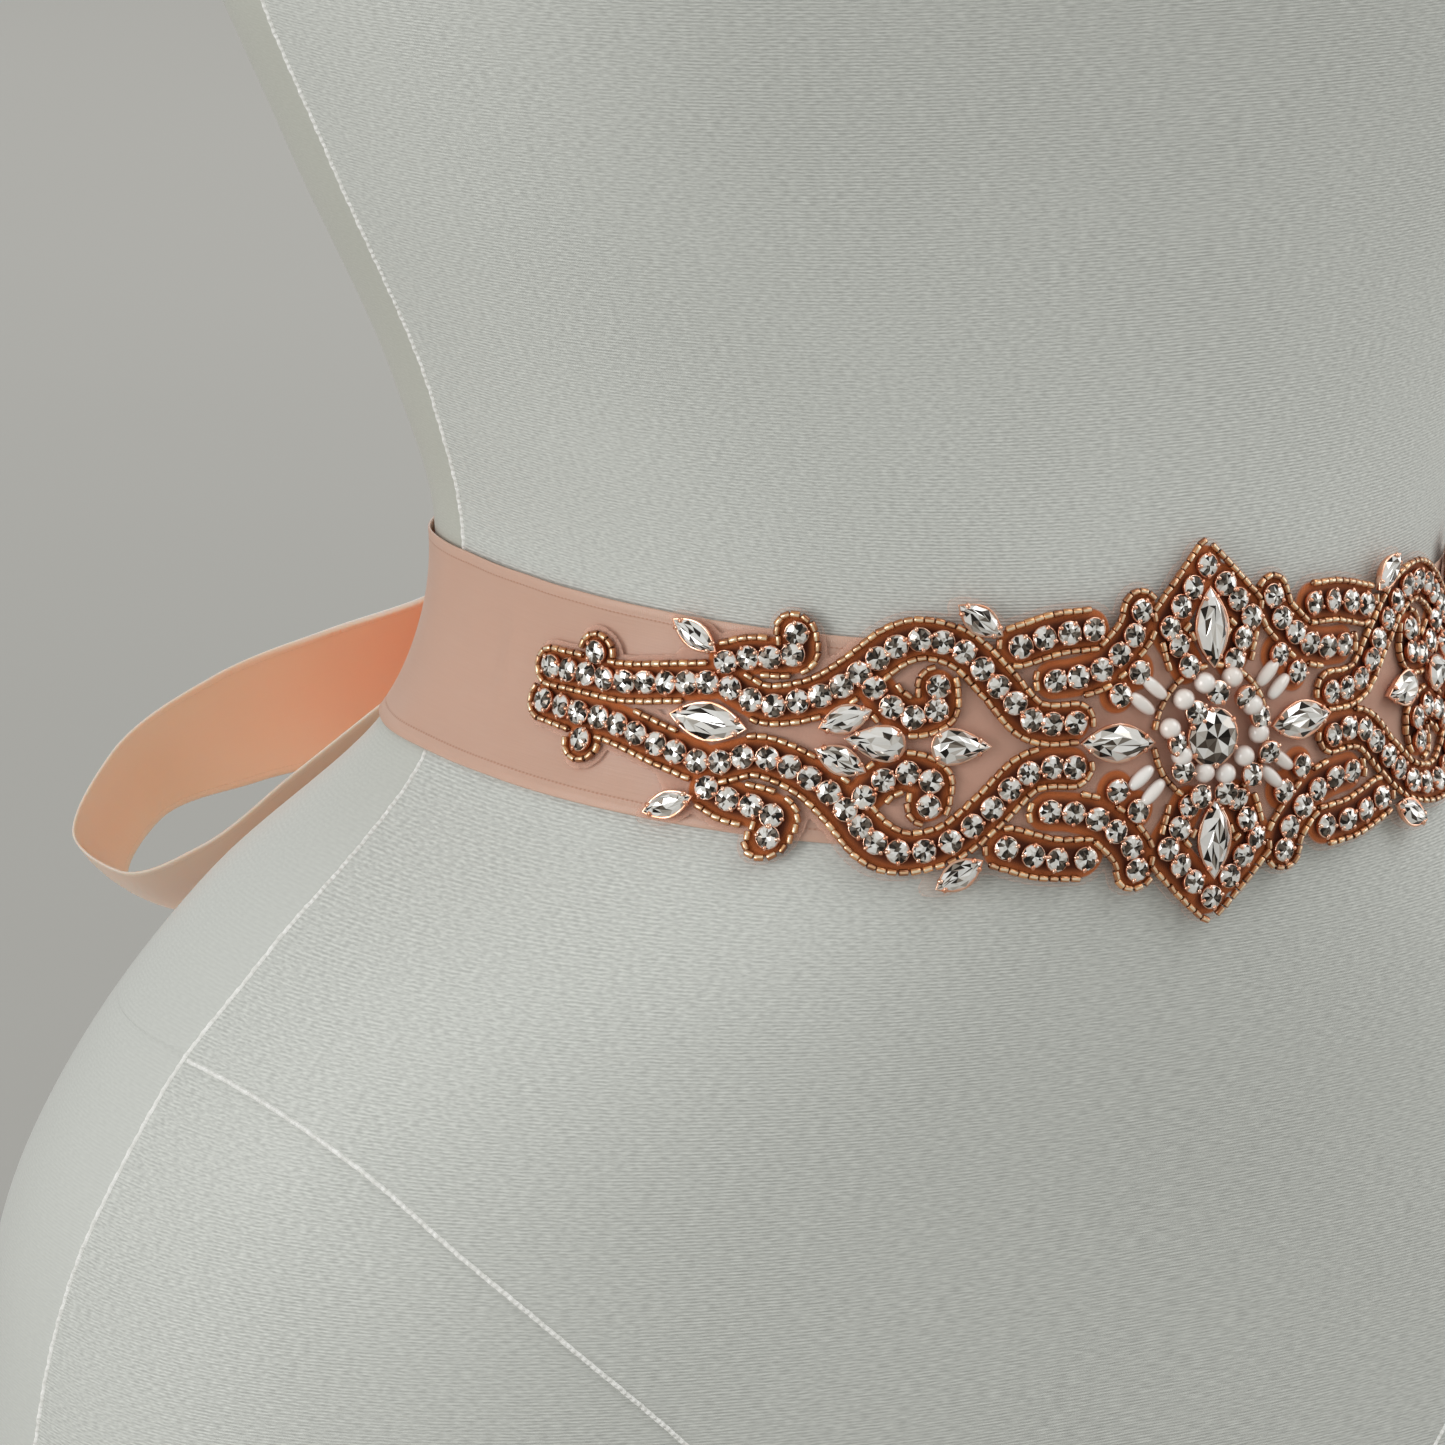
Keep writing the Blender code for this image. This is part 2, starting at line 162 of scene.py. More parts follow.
def walked_along(line):
    """The length walked from a line's first point to each of its points."""
    return np.concatenate([[0.0], np.cumsum(np.linalg.norm(np.diff(line, axis=0), axis=1))])


def angle_of_arc(arc):
    """The angle round the form at this length of arc from the front, measured at the waist."""
    angles = np.linspace(-math.pi, math.pi, 1441)
    ring = form_surface(angles, np.zeros_like(angles))
    lengths = walked_along(ring)
    return np.interp(arc, lengths - lengths[len(angles) // 2], angles)


def grid_faces(rows, columns, wrapped=False):
    """Four-sided faces between neighbouring points of a grid kept row by row."""
    column = np.arange(columns if wrapped else columns - 1)
    row = np.arange(rows - 1)[:, None] * columns
    right = (column + 1) % columns
    corners = (row + column, row + right, row + columns + right, row + columns + column)
    return np.stack(np.broadcast_arrays(*corners), -1).reshape(-1, 4).tolist()


def end_faces(rows, columns):
    """The two faces that close the ends of a tube of points kept row by row."""
    return [list(reversed(range(columns))), list(range((rows - 1) * columns, rows * columns))]


def new_piece(name, points, faces, finish, slot, smooth_faces=True, facets=None, **values):
    """A mesh piece that rides on the part's one body, with values kept at its points for its finish to
    read."""
    mesh = bpy.data.meshes.new(name)
    mesh.from_pydata(np.asarray(points, float).reshape(-1, 3).tolist(), [], faces)
    mesh.materials.append(finish)
    mesh.polygons.foreach_set("use_smooth", np.full(len(mesh.polygons), smooth_faces))
    for key, value in values.items():
        kept = mesh.attributes.new(key, "FLOAT_VECTOR", "POINT")
        kept.data.foreach_set("vector", np.asarray(value, np.float32).ravel())
    if facets is not None:
        kept = mesh.attributes.new("facet", "FLOAT", "FACE")
        kept.data.foreach_set("value", np.asarray(facets, np.float32).ravel())
    made = bpy.data.objects.new(name, mesh)
    bpy.context.scene.collection.objects.link(made)
    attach(made, "root")
    return made


def node(tree, kind, inputs=None, **settings):
    """A shader node with its settings, and with its inputs by name or number set to values or linked to
    outputs."""
    made = tree.nodes.new(kind)
    for key, value in settings.items():
        setattr(made, key, value)
    for key, value in (inputs or {}).items():
        if isinstance(value, bpy.types.NodeSocket):
            tree.links.new(value, made.inputs[key])
        else:
            made.inputs[key].default_value = value
    return made


def maths(tree, operation, *values):
    """The output of a sum on these values."""
    return node(tree, "ShaderNodeMath", dict(enumerate(values)), operation=operation).outputs[0]


def between(tree, value, low, high, to_low=0.0, to_high=1.0):
    """A value mapped from one range to another, held inside it, with eased ends."""
    inputs = {0: value, 1: low, 2: high, 3: to_low, 4: to_high}
    return node(tree, "ShaderNodeMapRange", inputs, interpolation_type="SMOOTHSTEP").outputs[0]


def blend_colours(tree, share, first, second, how="MIX"):
    """The first colour with this share of the second."""
    made = node(tree, "ShaderNodeMix", {0: share, 6: first, 7: second}, data_type="RGBA", blend_type=how)
    return made.outputs[2]


def kept_value(tree, name, output="Vector"):
    """A value that new_piece kept on the mesh."""
    return node(tree, "ShaderNodeAttribute", attribute_name=name).outputs[output]


def apart(tree, vector):
    made = node(tree, "ShaderNodeSeparateXYZ", {0: vector})
    return made.outputs[0], made.outputs[1], made.outputs[2]


def new_finish(name, **plain):
    """A material and its shader, with the sockets that are the same all over set to plain values."""
    made = bpy.data.materials.new(name)
    made.use_nodes = True
    shader = made.node_tree.nodes["Principled BSDF"]
    for key, value in plain.items():
        shader.inputs[key.replace("_", " ")].default_value = value
    return made, made.node_tree, shader


def emboss(tree, shader, height, depth, strength):
    """Relief on a finish from a height that changes over it."""
    bump = node(tree, "ShaderNodeBump", {"Strength": strength, "Distance": depth, "Height": height})
    tree.links.new(bump.outputs[0], shader.inputs["Normal"])


def new_effect(name, inputs, outputs):
    """An empty node group. Inputs and outputs are pairs of a name and a kind of socket, inputs with a
    value too."""
    group = bpy.data.node_groups.new(name, "ShaderNodeTree")
    for label, kind, value in inputs:
        socket = group.interface.new_socket(name=label, in_out="INPUT", socket_type="NodeSocket" + kind)
        socket.default_value = value
    for label, kind in outputs:
        group.interface.new_socket(name=label, in_out="OUTPUT", socket_type="NodeSocket" + kind)
    return group, group.nodes.new("NodeGroupInput").outputs, group.nodes.new("NodeGroupOutput").inputs


def effect(tree, group, **inputs):
    """A node group placed in a material, with its inputs by name."""
    made = tree.nodes.new("ShaderNodeGroup")
    made.node_tree = group
    for key, value in inputs.items():
        socket = made.inputs[key.replace("_", " ")]
        if isinstance(value, bpy.types.NodeSocket):
            tree.links.new(value, socket)
        else:
            socket.default_value = value
    return made.outputs


# Soft mottling: cloth, thread, plating, pearls and the floor are a little uneven in tone.
mottle, given, result = new_effect(
    "soft mottle",
    (
        ("Place", "Vector", (0, 0, 0)),
        ("Colour", "Color", (1, 1, 1, 1)),
        ("Second", "Color", (1, 1, 1, 1)),
        ("Scale", "Float", 20.0),
        ("Amount", "Float", 0.5),
    ),
    (("Colour", "Color"), ("Value", "Float")),
)
cloud_look = {"Vector": given["Place"], "Scale": given["Scale"], "Detail": 3.0}
clouds = node(mottle, "ShaderNodeTexNoise", cloud_look)
cloud_share = between(mottle, clouds.outputs[0], 0.35, 0.65)
mottle.links.new(cloud_share, result["Value"])
cloud_amount = maths(mottle, "MULTIPLY", cloud_share, given["Amount"])
mottle.links.new(blend_colours(mottle, cloud_amount, given["Colour"], given["Second"]), result["Colour"])

# Ribs: fine raised lines across a direction of the cloth, a little broken, as in a knit or a woven edge.
ribs, given, result = new_effect(
    "fine ribs",
    (
        ("Place", "Vector", (0, 0, 0)),
        ("Across", "Float", 0.0),
        ("Pitch", "Float", 0.001),
        ("Waver", "Float", 0.3),
        ("Breaks", "Float", 900.0),
    ),
    (("Height", "Float"), ("Strength", "Float")),
)
wander_look = {"Vector": given["Place"], "Scale": given["Breaks"], "Detail": 2.0}
wander = node(ribs, "ShaderNodeTexNoise", wander_look)
wander_value = maths(ribs, "SUBTRACT", wander.outputs[0], 0.5)
turns = maths(ribs, "DIVIDE", given["Across"], given["Pitch"])
turns = maths(ribs, "ADD", turns, maths(ribs, "MULTIPLY", wander_value, given["Waver"]))
wave = maths(ribs, "SINE", maths(ribs, "MULTIPLY", turns, math.tau))
patches = node(ribs, "ShaderNodeTexNoise", {"Vector": given["Place"], "Scale": 22.0, "Detail": 2.0})
strength = between(ribs, patches.outputs[0], 0.3, 0.7, 0.35, 1.0)
ribs.links.new(maths(ribs, "MULTIPLY", wave, strength), result["Height"])
ribs.links.new(strength, result["Strength"])

# Knit cover: matt off-white jersey with very fine ribs round the body and a broken grain. The back panel,
# behind the side seams, is smoother: its ribs hardly show. Above the waist it is darkened with painted shade.
JERSEY = (0.645, 0.661, 0.629, 1)
JERSEY_SHADE = (0.618, 0.634, 0.602, 1)
BACK_PANEL_PAINTED_SHADE = (0.86, 0.85, 0.80, 1)
SEAM_SHADOW = (0.36, 0.36, 0.33, 1)
RIB_PITCH = 0.00062
KNIT_RADIUS = 0.110
jersey, tree, shader = new_finish(
    "knit jersey", Roughness=0.58, Sheen_Weight=0.30, Sheen_Roughness=0.40, Specular_IOR_Level=0.40
)
place = kept_value(tree, "place")
from_side_seam, from_hip_seam, _ = apart(tree, kept_value(tree, "seams"))
up_form = apart(tree, place)[1]
rib = effect(tree, ribs, Place=place, Across=up_form, Pitch=RIB_PITCH, Waver=0.10, Breaks=300.0)["Height"]
tone = effect(tree, mottle, Place=place, Colour=JERSEY, Second=JERSEY_SHADE, Scale=9.0, Amount=0.8)["Colour"]
drawn_out = node(tree, "ShaderNodeMapping", {0: place, 3: (650.0, 2900.0, 1.0)}).outputs[0]
grain = node(tree, "ShaderNodeTexNoise", {"Vector": drawn_out, "Scale": 1.0, "Detail": 1.0}).outputs[0]
rib_shade = between(tree, rib, -1.0, 1.0, 0.89, 1.06)
grain_shade = between(tree, grain, 0.25, 0.75, 0.86, 1.14)
shade = maths(tree, "MULTIPLY", rib_shade, grain_shade)
calm = between(tree, from_side_seam, -0.0005, 0.0005, 1.0, 0.22)
shade = maths(tree, "ADD", maths(tree, "MULTIPLY", shade, calm), maths(tree, "SUBTRACT", 1.0, calm))
shade = node(tree, "ShaderNodeCombineColor", {0: shade, 1: shade, 2: shade}).outputs[0]
tone = blend_colours(tree, 1.0, tone, shade, "MULTIPLY")
# painted shade: the back panel behind the side seams is darkened above the waist
above_waist = between(tree, up_form, -0.045, 0.015)
painted_back_shade = maths(tree, "MULTIPLY", between(tree, from_side_seam, -0.0003, 0.0008), above_waist)
tone = blend_colours(tree, painted_back_shade, tone, BACK_PANEL_PAINTED_SHADE, "MULTIPLY")
near_side, near_hip = (maths(tree, "ABSOLUTE", value) for value in (from_side_seam, from_hip_seam))
nearest = maths(tree, "MINIMUM", near_side, near_hip)
tone = blend_colours(tree, between(tree, nearest, 0.0005, 0.0017, 0.12, 0.0), tone, SEAM_SHADOW)
dip = between(tree, nearest, 0.0004, 0.0022, -1.6, 0.0)
relief = maths(tree, "ADD", maths(tree, "MULTIPLY", rib, 0.8), maths(tree, "MULTIPLY", grain, 1.4))
relief = maths(tree, "MULTIPLY", relief, calm)
relief = maths(tree, "ADD", relief, dip)
emboss(tree, shader, relief, 0.0001, 0.5)
rough = between(tree, grain, 0.35, 0.7, 0.66, 0.46)
rough = maths(tree, "MULTIPLY", rough, between(tree, calm, 0.2, 1.0, 0.72, 1.0))
tree.links.new(rough, shader.inputs["Roughness"])
tree.links.new(tone, shader.inputs["Base Color"])


def form_place(angle, height):
    """Where a point of the cover is on the knit: round and up, in metres."""
    around = angle * KNIT_RADIUS
    return np.stack(np.broadcast_arrays(around, height, np.zeros_like(angle)), -1)


ARC_SHARE = 0.95
METRES_PER_DEGREE = 0.003


def seam_distances(angle, height):
    """How far a point of the cover is from the side seam and from the hip seam, with a sign, in metres."""
    folded = np.abs((angle + math.pi) % math.tau - math.pi)
    radius = smooth(FORM_SECTIONS, 1, height)
    from_side = (folded - np.radians(smooth(SIDE_SEAM, 1, height))) * radius * ARC_SHARE
    degrees = np.degrees(folded)
    first, last = HIP_SEAM[0][0], HIP_SEAM[-1][0]
    known = np.clip(degrees, first, last)
    ahead, behind = (smooth(HIP_SEAM, 1, np.clip(known + step, first, last)) for step in (0.5, -0.5))
    slope = (ahead - behind) / (math.radians(1.0) * radius)
    from_hip = (height - smooth(HIP_SEAM, 1, known)) / np.sqrt(1 + slope**2)
    outside = np.maximum(np.abs(degrees - known) * METRES_PER_DEGREE, np.clip(from_side, 0, None))
    from_hip = np.where(outside > 0, np.sign(from_hip) * np.hypot(from_hip, outside), from_hip)
    return np.stack([from_side, from_hip, np.zeros_like(from_side)], -1)


angle, height = np.meshgrid(
    np.arange(FORM_COLUMNS) * math.tau / FORM_COLUMNS,
    np.linspace(FORM_SECTIONS[0][0], FORM_SECTIONS[-1][0], FORM_ROWS),
)
faces = grid_faces(FORM_ROWS, FORM_COLUMNS, wrapped=True) + end_faces(FORM_ROWS, FORM_COLUMNS)
cover = new_piece(
    "form_cover",
    form_surface(angle, height),
    faces,
    jersey,
    "jersey",
    place=form_place(np.where(angle > math.pi, angle - math.tau, angle), height),
    seams=seam_distances(angle, height),
)
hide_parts("form_torso")


# Cover seams: two edges of the knit sewn together and turned in, which leaves a thin puckered ridge.
SEAM_WIDTH = 0.0010
SEAM_RISE = 0.00045
SEAM_DEPTH = 0.0004
SEAM_SWAY = 0.00004
SEAM_PUCKER = 0.16
SEAM_STITCH = 0.0026
# painted highlight: the welt is painted far whiter than the knit it is made of, as light on the ridge
WELT_PAINTED_HIGHLIGHT = (1.0, 1.0, 0.98, 1)
WELT_PAINTED_HIGHLIGHT_DARKER = (0.82, 0.82, 0.78, 1)
seam_finish, tree, shader = new_finish("seam welt", Roughness=0.6, Sheen_Weight=0.3, Specular_IOR_Level=0.3)
place = kept_value(tree, "place")
tone = effect(tree, mottle, Place=place, Colour=WELT_PAINTED_HIGHLIGHT, Second=WELT_PAINTED_HIGHLIGHT_DARKER, Scale=420.0, Amount=0.8)
tree.links.new(tone["Colour"], shader.inputs["Base Color"])
rib = effect(tree, ribs, Place=place, Across=apart(tree, place)[0], Pitch=0.0013, Waver=0.6, Breaks=500.0)
emboss(tree, shader, rib["Height"], 0.0002, 0.6)


def seam_welt(name, angles, heights):
    """A thin puckered ridge along a line on the cover."""
    line = form_surface(angles, heights)
    walked = walked_along(line)
    out = directions_on_form(angles, heights)[2]
    across = np.cross(out, unit(np.gradient(line, axis=0)))
    stitches = walked * math.tau / SEAM_STITCH
    pucker = (np.sin(stitches) + 0.6 * np.sin(stitches / 2.7 + 1.0))[:, None]
    shares = np.array([-1.0, -0.55, -0.18, 0.18, 0.55, 1.0])
    crown = np.array([-0.12, 0.55, 1.0, 1.0, 0.55, -0.12])
    sideways = SEAM_WIDTH / 2 * shares + SEAM_SWAY * pucker
    raised = SEAM_RISE * crown * (1 + SEAM_PUCKER * pucker)
    middle = line[:, None] + across[:, None] * sideways[..., None]
    top = middle + out[:, None] * raised[..., None]
    under = middle - out[:, None] * SEAM_DEPTH
    ring = np.concatenate([top, under[:, ::-1]], 1)
    rows, wide = ring.shape[:2]
    faces = grid_faces(rows, wide, wrapped=True) + end_faces(rows, wide)
    crosswise = np.concatenate([shares, shares[::-1]])[None] * SEAM_WIDTH / 2
    places = np.stack(np.broadcast_arrays(walked[:, None], crosswise, 0.0), -1)
    return new_piece(name, ring, faces, seam_finish, "jersey", place=places)


for side, side_name in ((1, "left"), (-1, "right")):
    heights = np.arange(-0.272, 0.446, 0.0007)
    seam_welt(f"side_seam_{side_name}", side * np.radians(smooth(SIDE_SEAM, 1, heights)), heights)
    degrees = np.arange(HIP_SEAM[0][0], HIP_SEAM[-2][0], 0.25)
    seam_welt(f"hip_seam_{side_name}", side * np.radians(degrees), smooth(HIP_SEAM, 1, degrees))


# The stand: a turned neck cap, two armhole plates and a foot, all of varnished beech with rounded edges.
# The grain runs across the form, and up the armhole plates.
BEECH_DARK = (0.46, 0.27, 0.13, 1)
BEECH_PALE = (0.62, 0.41, 0.23, 1)
BEECH_FLECK = (0.27, 0.13, 0.055, 1)
BOARD_SIDES = 144
PLATE_EDGE = 0.0024
FOOT_EDGE = 0.008
CAP_EDGE = 0.0045
beech, tree, shader = new_finish("varnished beech", Coat_Weight=0.35, Coat_Roughness=0.12, Roughness=0.42)
local = kept_value(tree, "place")
stretched = node(tree, "ShaderNodeMapping", {0: local, 3: (9.0, 70.0, 70.0)}).outputs[0]
grain_look = {"Vector": stretched, "Scale": 1.6, "Detail": 6.0, "Distortion": 0.6}
grain = node(tree, "ShaderNodeTexNoise", grain_look).outputs[0]
flecks = node(tree, "ShaderNodeMapping", {0: local, 3: (160.0, 1100.0, 1100.0)}).outputs[0]
fleck = node(tree, "ShaderNodeTexNoise", {"Vector": flecks, "Scale": 1.0, "Detail": 1.0}).outputs[0]
wood = blend_colours(tree, between(tree, grain, 0.3, 0.7), BEECH_DARK, BEECH_PALE)
wood = blend_colours(tree, between(tree, fleck, 0.62, 0.72, 0.0, 0.55), wood, BEECH_FLECK)
tree.links.new(wood, shader.inputs["Base Color"])
emboss(tree, shader, maths(tree, "ADD", grain, fleck), 0.0003, 0.25)


def loft(rings, closed=False):
    """Points and triangles through rings of points, each turning left seen from its end. A ring of one
    point is a tip."""
    points = np.concatenate(rings)
    starts = np.concatenate([[0], np.cumsum([len(ring) for ring in rings])])
    found = []
    pairs = list(zip(range(len(rings) - 1), range(1, len(rings))))
    if closed:
        pairs.append((len(rings) - 1, 0))
    for low, high in pairs:
        count = max(len(rings[low]), len(rings[high]))
        i = np.arange(count)
        right = (i + 1) % count
        if len(rings[low]) == 1:
            found.append(np.stack([np.full(count, starts[low]), starts[high] + right, starts[high] + i], 1))
        elif len(rings[high]) == 1:
            found.append(np.stack([starts[low] + i, starts[low] + right, np.full(count, starts[high])], 1))
        else:
            found.append(np.stack([starts[low] + i, starts[low] + right, starts[high] + i], 1))
            found.append(np.stack([starts[low] + right, starts[high] + right, starts[high] + i], 1))
    return points, np.concatenate(found)


def turned(profile, sides, closed=False, stretch=1.0, twist=0.0):
    """A shape turned from a profile of radius and height, stretched along x to an oval."""
    rings = []
    for step, (radius, height) in enumerate(profile):
        if radius == 0:
            rings.append(np.array([[0.0, 0.0, height]]))
            continue
        t = (np.arange(sides) + twist * step) * math.tau / sides
        rings.append(np.stack([stretch * radius * np.cos(t), radius * np.sin(t), np.full(sides, height)], 1))
    return loft(rings, closed)


def board_profile(radius, thickness, edge):
    """A board's rounded side, from the middle of its underside to the middle of its top, as radius and
    height."""
    turns = np.linspace(0, math.pi / 2, 6)
    low = [(radius - edge + edge * math.sin(t), edge - edge * math.cos(t)) for t in turns]
    high = [(radius - edge + edge * math.cos(t), thickness - edge + edge * math.sin(t)) for t in turns]
    return [(0, 0.0), *low, *high, (0, thickness)]


for name, solid in (
    ("neck_cap", "form_neck_cap"),
    ("foot_board", "form_base"),
    ("arm_plate_left", "form_arm_plate_left"),
    ("arm_plate_right", "form_arm_plate_right"),
):
    low, high = (np.array(corner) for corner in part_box(solid))
    middle, (long, deep, tall) = (low + high) / 2, high - low
    if name == "neck_cap":
        points, faces = turned(board_profile(long / 2, tall, CAP_EDGE), BOARD_SIDES)
        along_grain = points = points + (middle[0], middle[1], low[2])
    elif name == "foot_board":
        points, faces = turned(board_profile(deep / 2, tall, FOOT_EDGE), BOARD_SIDES, stretch=long / deep)
        along_grain = points = points + (middle[0], middle[1], low[2])
    else:
        points, faces = turned(board_profile(deep / 2, long, PLATE_EDGE), BOARD_SIDES, stretch=tall / deep)
        side = math.copysign(1, middle[0])
        points = np.stack([side * (points[:, 2] - long / 2), points[:, 1], side * -points[:, 0]], 1) + middle
        along_grain = points[:, [2, 0, 1]]
    board = new_piece(name, points, faces.tolist(), beech, "beech", place=along_grain)
    board.data.set_sharp_from_angle(angle=math.radians(50))
    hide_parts(solid)


# Waist ribbon: 38 mm double-faced satin with a firm woven edge, drawn flat round the waist. It dimples a
# little where the end of the ornament pulls on it.
RIBBON_WIDTH = 0.038
RIBBON_CLOTH = 0.0005
RIBBON_OUT = 0.00080
RIBBON_OUT_MOST = 0.00155
GAP = 0.0003
SELVAGE = 0.0021
STITCH_PITCH = 0.00092
CROSS_THREAD_PITCH = 0.00062
EDGE_THREAD_PITCH = 0.00046
ROLLED_EDGE_PAINTED_HIGHLIGHT = (0.95, 0.80, 0.74, 1)
STITCH_SHADOW = (0.46, 0.19, 0.11, 1)
NO_TINT = (1.0, 1.0, 1.0, 1)


def satin_finish(name, mid, deep, pale, sheen, through, stitching, rolled=0.0, inner_painted_shade=NO_TINT):
    """Satin: soft streaks along the ribbon painted paler as a painted sheen, fine cross threads, a row of
    stitches inside each woven edge, a share of light that comes through the cloth, a painted highlight along
    the upper edge near the ribbon's start, and painted warmer shade near the knot on the side that faces
    into a loop."""
    made, tree, shader = new_finish(
        name,
        Sheen_Weight=sheen,
        Sheen_Roughness=0.35,
        Sheen_Tint=(1.0, 0.80, 0.70, 1),
        Specular_IOR_Level=0.45,
        Subsurface_Weight=through,
        Subsurface_Radius=(1.0, 0.65, 0.50),
        Subsurface_Scale=0.003,
    )
    place = kept_value(tree, "place")
    along, across, edge = apart(tree, place)
    tone = effect(tree, mottle, Place=place, Colour=mid, Second=deep, Scale=26.0, Amount=0.35)["Colour"]
    streak_place = node(tree, "ShaderNodeMapping", {0: place, 3: (90.0, 2600.0, 1.0)}).outputs[0]
    streak_look = {"Vector": streak_place, "Scale": 1.0, "Detail": 2.0}
    streaks = node(tree, "ShaderNodeTexNoise", streak_look).outputs[0]
    # painted sheen: streaks along the ribbon blended toward the pale colour
    tone = blend_colours(tree, between(tree, streaks, 0.3, 0.75, 0.0, 0.18), tone, pale)
    in_selvage = between(tree, edge, SELVAGE + 0.0001, SELVAGE - 0.0002)
    tone = blend_colours(tree, maths(tree, "MULTIPLY", in_selvage, 0.30), tone, pale)
    second_side = apart(tree, kept_value(tree, "side"))[0]
    # painted shade: the side that faces into a loop is made darker and warmer near the knot
    painted_inner_shade = maths(tree, "MULTIPLY", second_side, between(tree, along, 0.125, 0.050))
    tone = blend_colours(tree, painted_inner_shade, tone, inner_painted_shade, "MULTIPLY")
    # painted highlight: a pale line along the upper edge near the ribbon's start, as strong as rolled says
    painted_roll_highlight = maths(tree, "MULTIPLY", between(tree, across, 0.0174, 0.0186), between(tree, along, 0.10, 0.06))
    tone = blend_colours(tree, maths(tree, "MULTIPLY", painted_roll_highlight, rolled), tone, ROLLED_EDGE_PAINTED_HIGHLIGHT)
    off_line = maths(tree, "ABSOLUTE", maths(tree, "SUBTRACT", edge, SELVAGE))
    line = maths(tree, "SUBTRACT", 1.0, between(tree, off_line, 0.00004, 0.00026))
    stitch_wave = maths(tree, "SINE", maths(tree, "MULTIPLY", along, math.tau / STITCH_PITCH))
    dots = between(tree, stitch_wave, -0.5, 0.6)
    stitch = maths(tree, "MULTIPLY", line, maths(tree, "ADD", 0.35, maths(tree, "MULTIPLY", dots, 0.65)))
    tone = blend_colours(tree, maths(tree, "MULTIPLY", stitch, stitching), tone, STITCH_SHADOW)
    tree.links.new(tone, shader.inputs["Base Color"])
    tree.links.new(between(tree, streaks, 0.2, 0.8, 0.32, 0.42), shader.inputs["Roughness"])
    crosswise = effect(
        tree, ribs, Place=place, Across=along, Pitch=CROSS_THREAD_PITCH, Waver=0.5, Breaks=700.0
    )
    threads = maths(tree, "ADD", streaks, maths(tree, "MULTIPLY", crosswise["Height"], 0.07))
    at_edge = effect(
        tree, ribs, Place=place, Across=along, Pitch=EDGE_THREAD_PITCH, Waver=0.2, Breaks=300.0
    )
    edge_threads = maths(tree, "MULTIPLY", maths(tree, "MULTIPLY", at_edge["Height"], in_selvage), 0.5)
    threads = maths(tree, "ADD", threads, edge_threads)
    threads = maths(tree, "SUBTRACT", threads, maths(tree, "MULTIPLY", stitch, 2.6))
    emboss(tree, shader, threads, 0.00007, 0.45)
    return made


satin = satin_finish(
    "peach satin",
    mid=(0.660, 0.408, 0.312, 1),
    deep=(0.635, 0.375, 0.280, 1),
    pale=(0.700, 0.465, 0.370, 1),
    sheen=0.22,
    through=0.15,
    stitching=0.6,
)


def cloth_of(name, grid, places, finish, wrapped=False):
    """Cloth through the middle of a grid of points, with rounded edges: rows run along it, columns
    across it."""
    down = np.gradient(grid, axis=0)
    if wrapped:
        down = (np.roll(grid, -1, 0) - np.roll(grid, 1, 0)) / 2
    across = np.gradient(grid, axis=1)
    normal = unit(np.cross(down, across))
    out_edge = unit(across)
    half = RIBBON_CLOTH / 2
    ring = np.concatenate(
        [
            grid + normal * half,
            (grid[:, -1] + out_edge[:, -1] * half * 0.8)[:, None],
            (grid - normal * half)[:, ::-1],
            (grid[:, 0] - out_edge[:, 0] * half * 0.8)[:, None],
        ],
        1,
    )
    held = np.concatenate([places, places[:, -1:], places[:, ::-1], places[:, :1]], 1)
    side = np.zeros_like(held)
    side[:, len(grid[0]) + 1 : -1, 0] = 1.0
    rows, wide = ring.shape[:2]
    faces = np.array(grid_faces(rows, wide, wrapped=True))
    if wrapped:
        last, first = (rows - 1) * wide + np.arange(wide), np.arange(wide)
        joined = np.stack([last, np.roll(last, -1), np.roll(first, -1), first], 1)
        faces = np.concatenate([faces, joined])
    faces = faces.tolist()
    if not wrapped:
        faces += end_faces(rows, wide)
    return new_piece(name, ring, faces, finish, "satin", place=held, side=side)


def ribbon_places(along, share, width):
    """Where points of a ribbon are on it: along, across, and in from the nearer edge, in metres."""
    along, share = np.broadcast_arrays(along, share)
    return np.stack([along, share * width, (0.5 - np.abs(share)) * width], -1)


def swell(value, middle, reach):
    """A smooth swelling, 1 at its middle and fading over its reach."""
    return np.exp(-(((value - middle) / reach) ** 2))


WAIST_STATIONS = 720
ORNAMENT_TIP = 0.1405
# creases past the ornament's end: how high, how far past it, reach along, height on the ribbon, reach
# across, slant
PULLS = (
    (0.00042, 0.0040, 0.0030, 0.002, 0.012, 0.0),
    (-0.00032, 0.0095, 0.0034, -0.001, 0.010, 0.0),
    (0.00022, 0.0150, 0.0040, 0.004, 0.010, 0.5),
)
angles = np.linspace(-math.pi, math.pi, WAIST_STATIONS, endpoint=False)
ring = form_surface(angles, np.zeros_like(angles))
spacing = np.linalg.norm(np.roll(ring, -1, 0) - ring, axis=1)
walked = np.concatenate([[0.0], np.cumsum(spacing)[:-1]])
walked -= np.interp(0.0, angles, walked)
share = np.linspace(-0.5, 0.5, 29)
arc, across = walked[:, None], share[None] * RIBBON_WIDTH
ease = 0.00013 * np.sin(arc * 175 + 2.2 * np.sin(arc * 41)) * np.cos(across * 62 + 1.1)
ease = ease + 0.00008 * np.sin(arc * 390 - across * 240 + 1.7)
for side in (-1, 1):
    for high, past, reach, up, reach_up, slant in PULLS:
        crease = swell(arc - side * across * slant, side * (ORNAMENT_TIP + past), reach)
        ease = ease + high * crease * swell(across, up, reach_up)
curl = 0.00016 * (np.abs(share[None]) * 2) ** 6
out = np.clip(RIBBON_OUT + ease + curl, GAP + RIBBON_CLOTH / 2 + 0.00003, RIBBON_OUT_MOST)
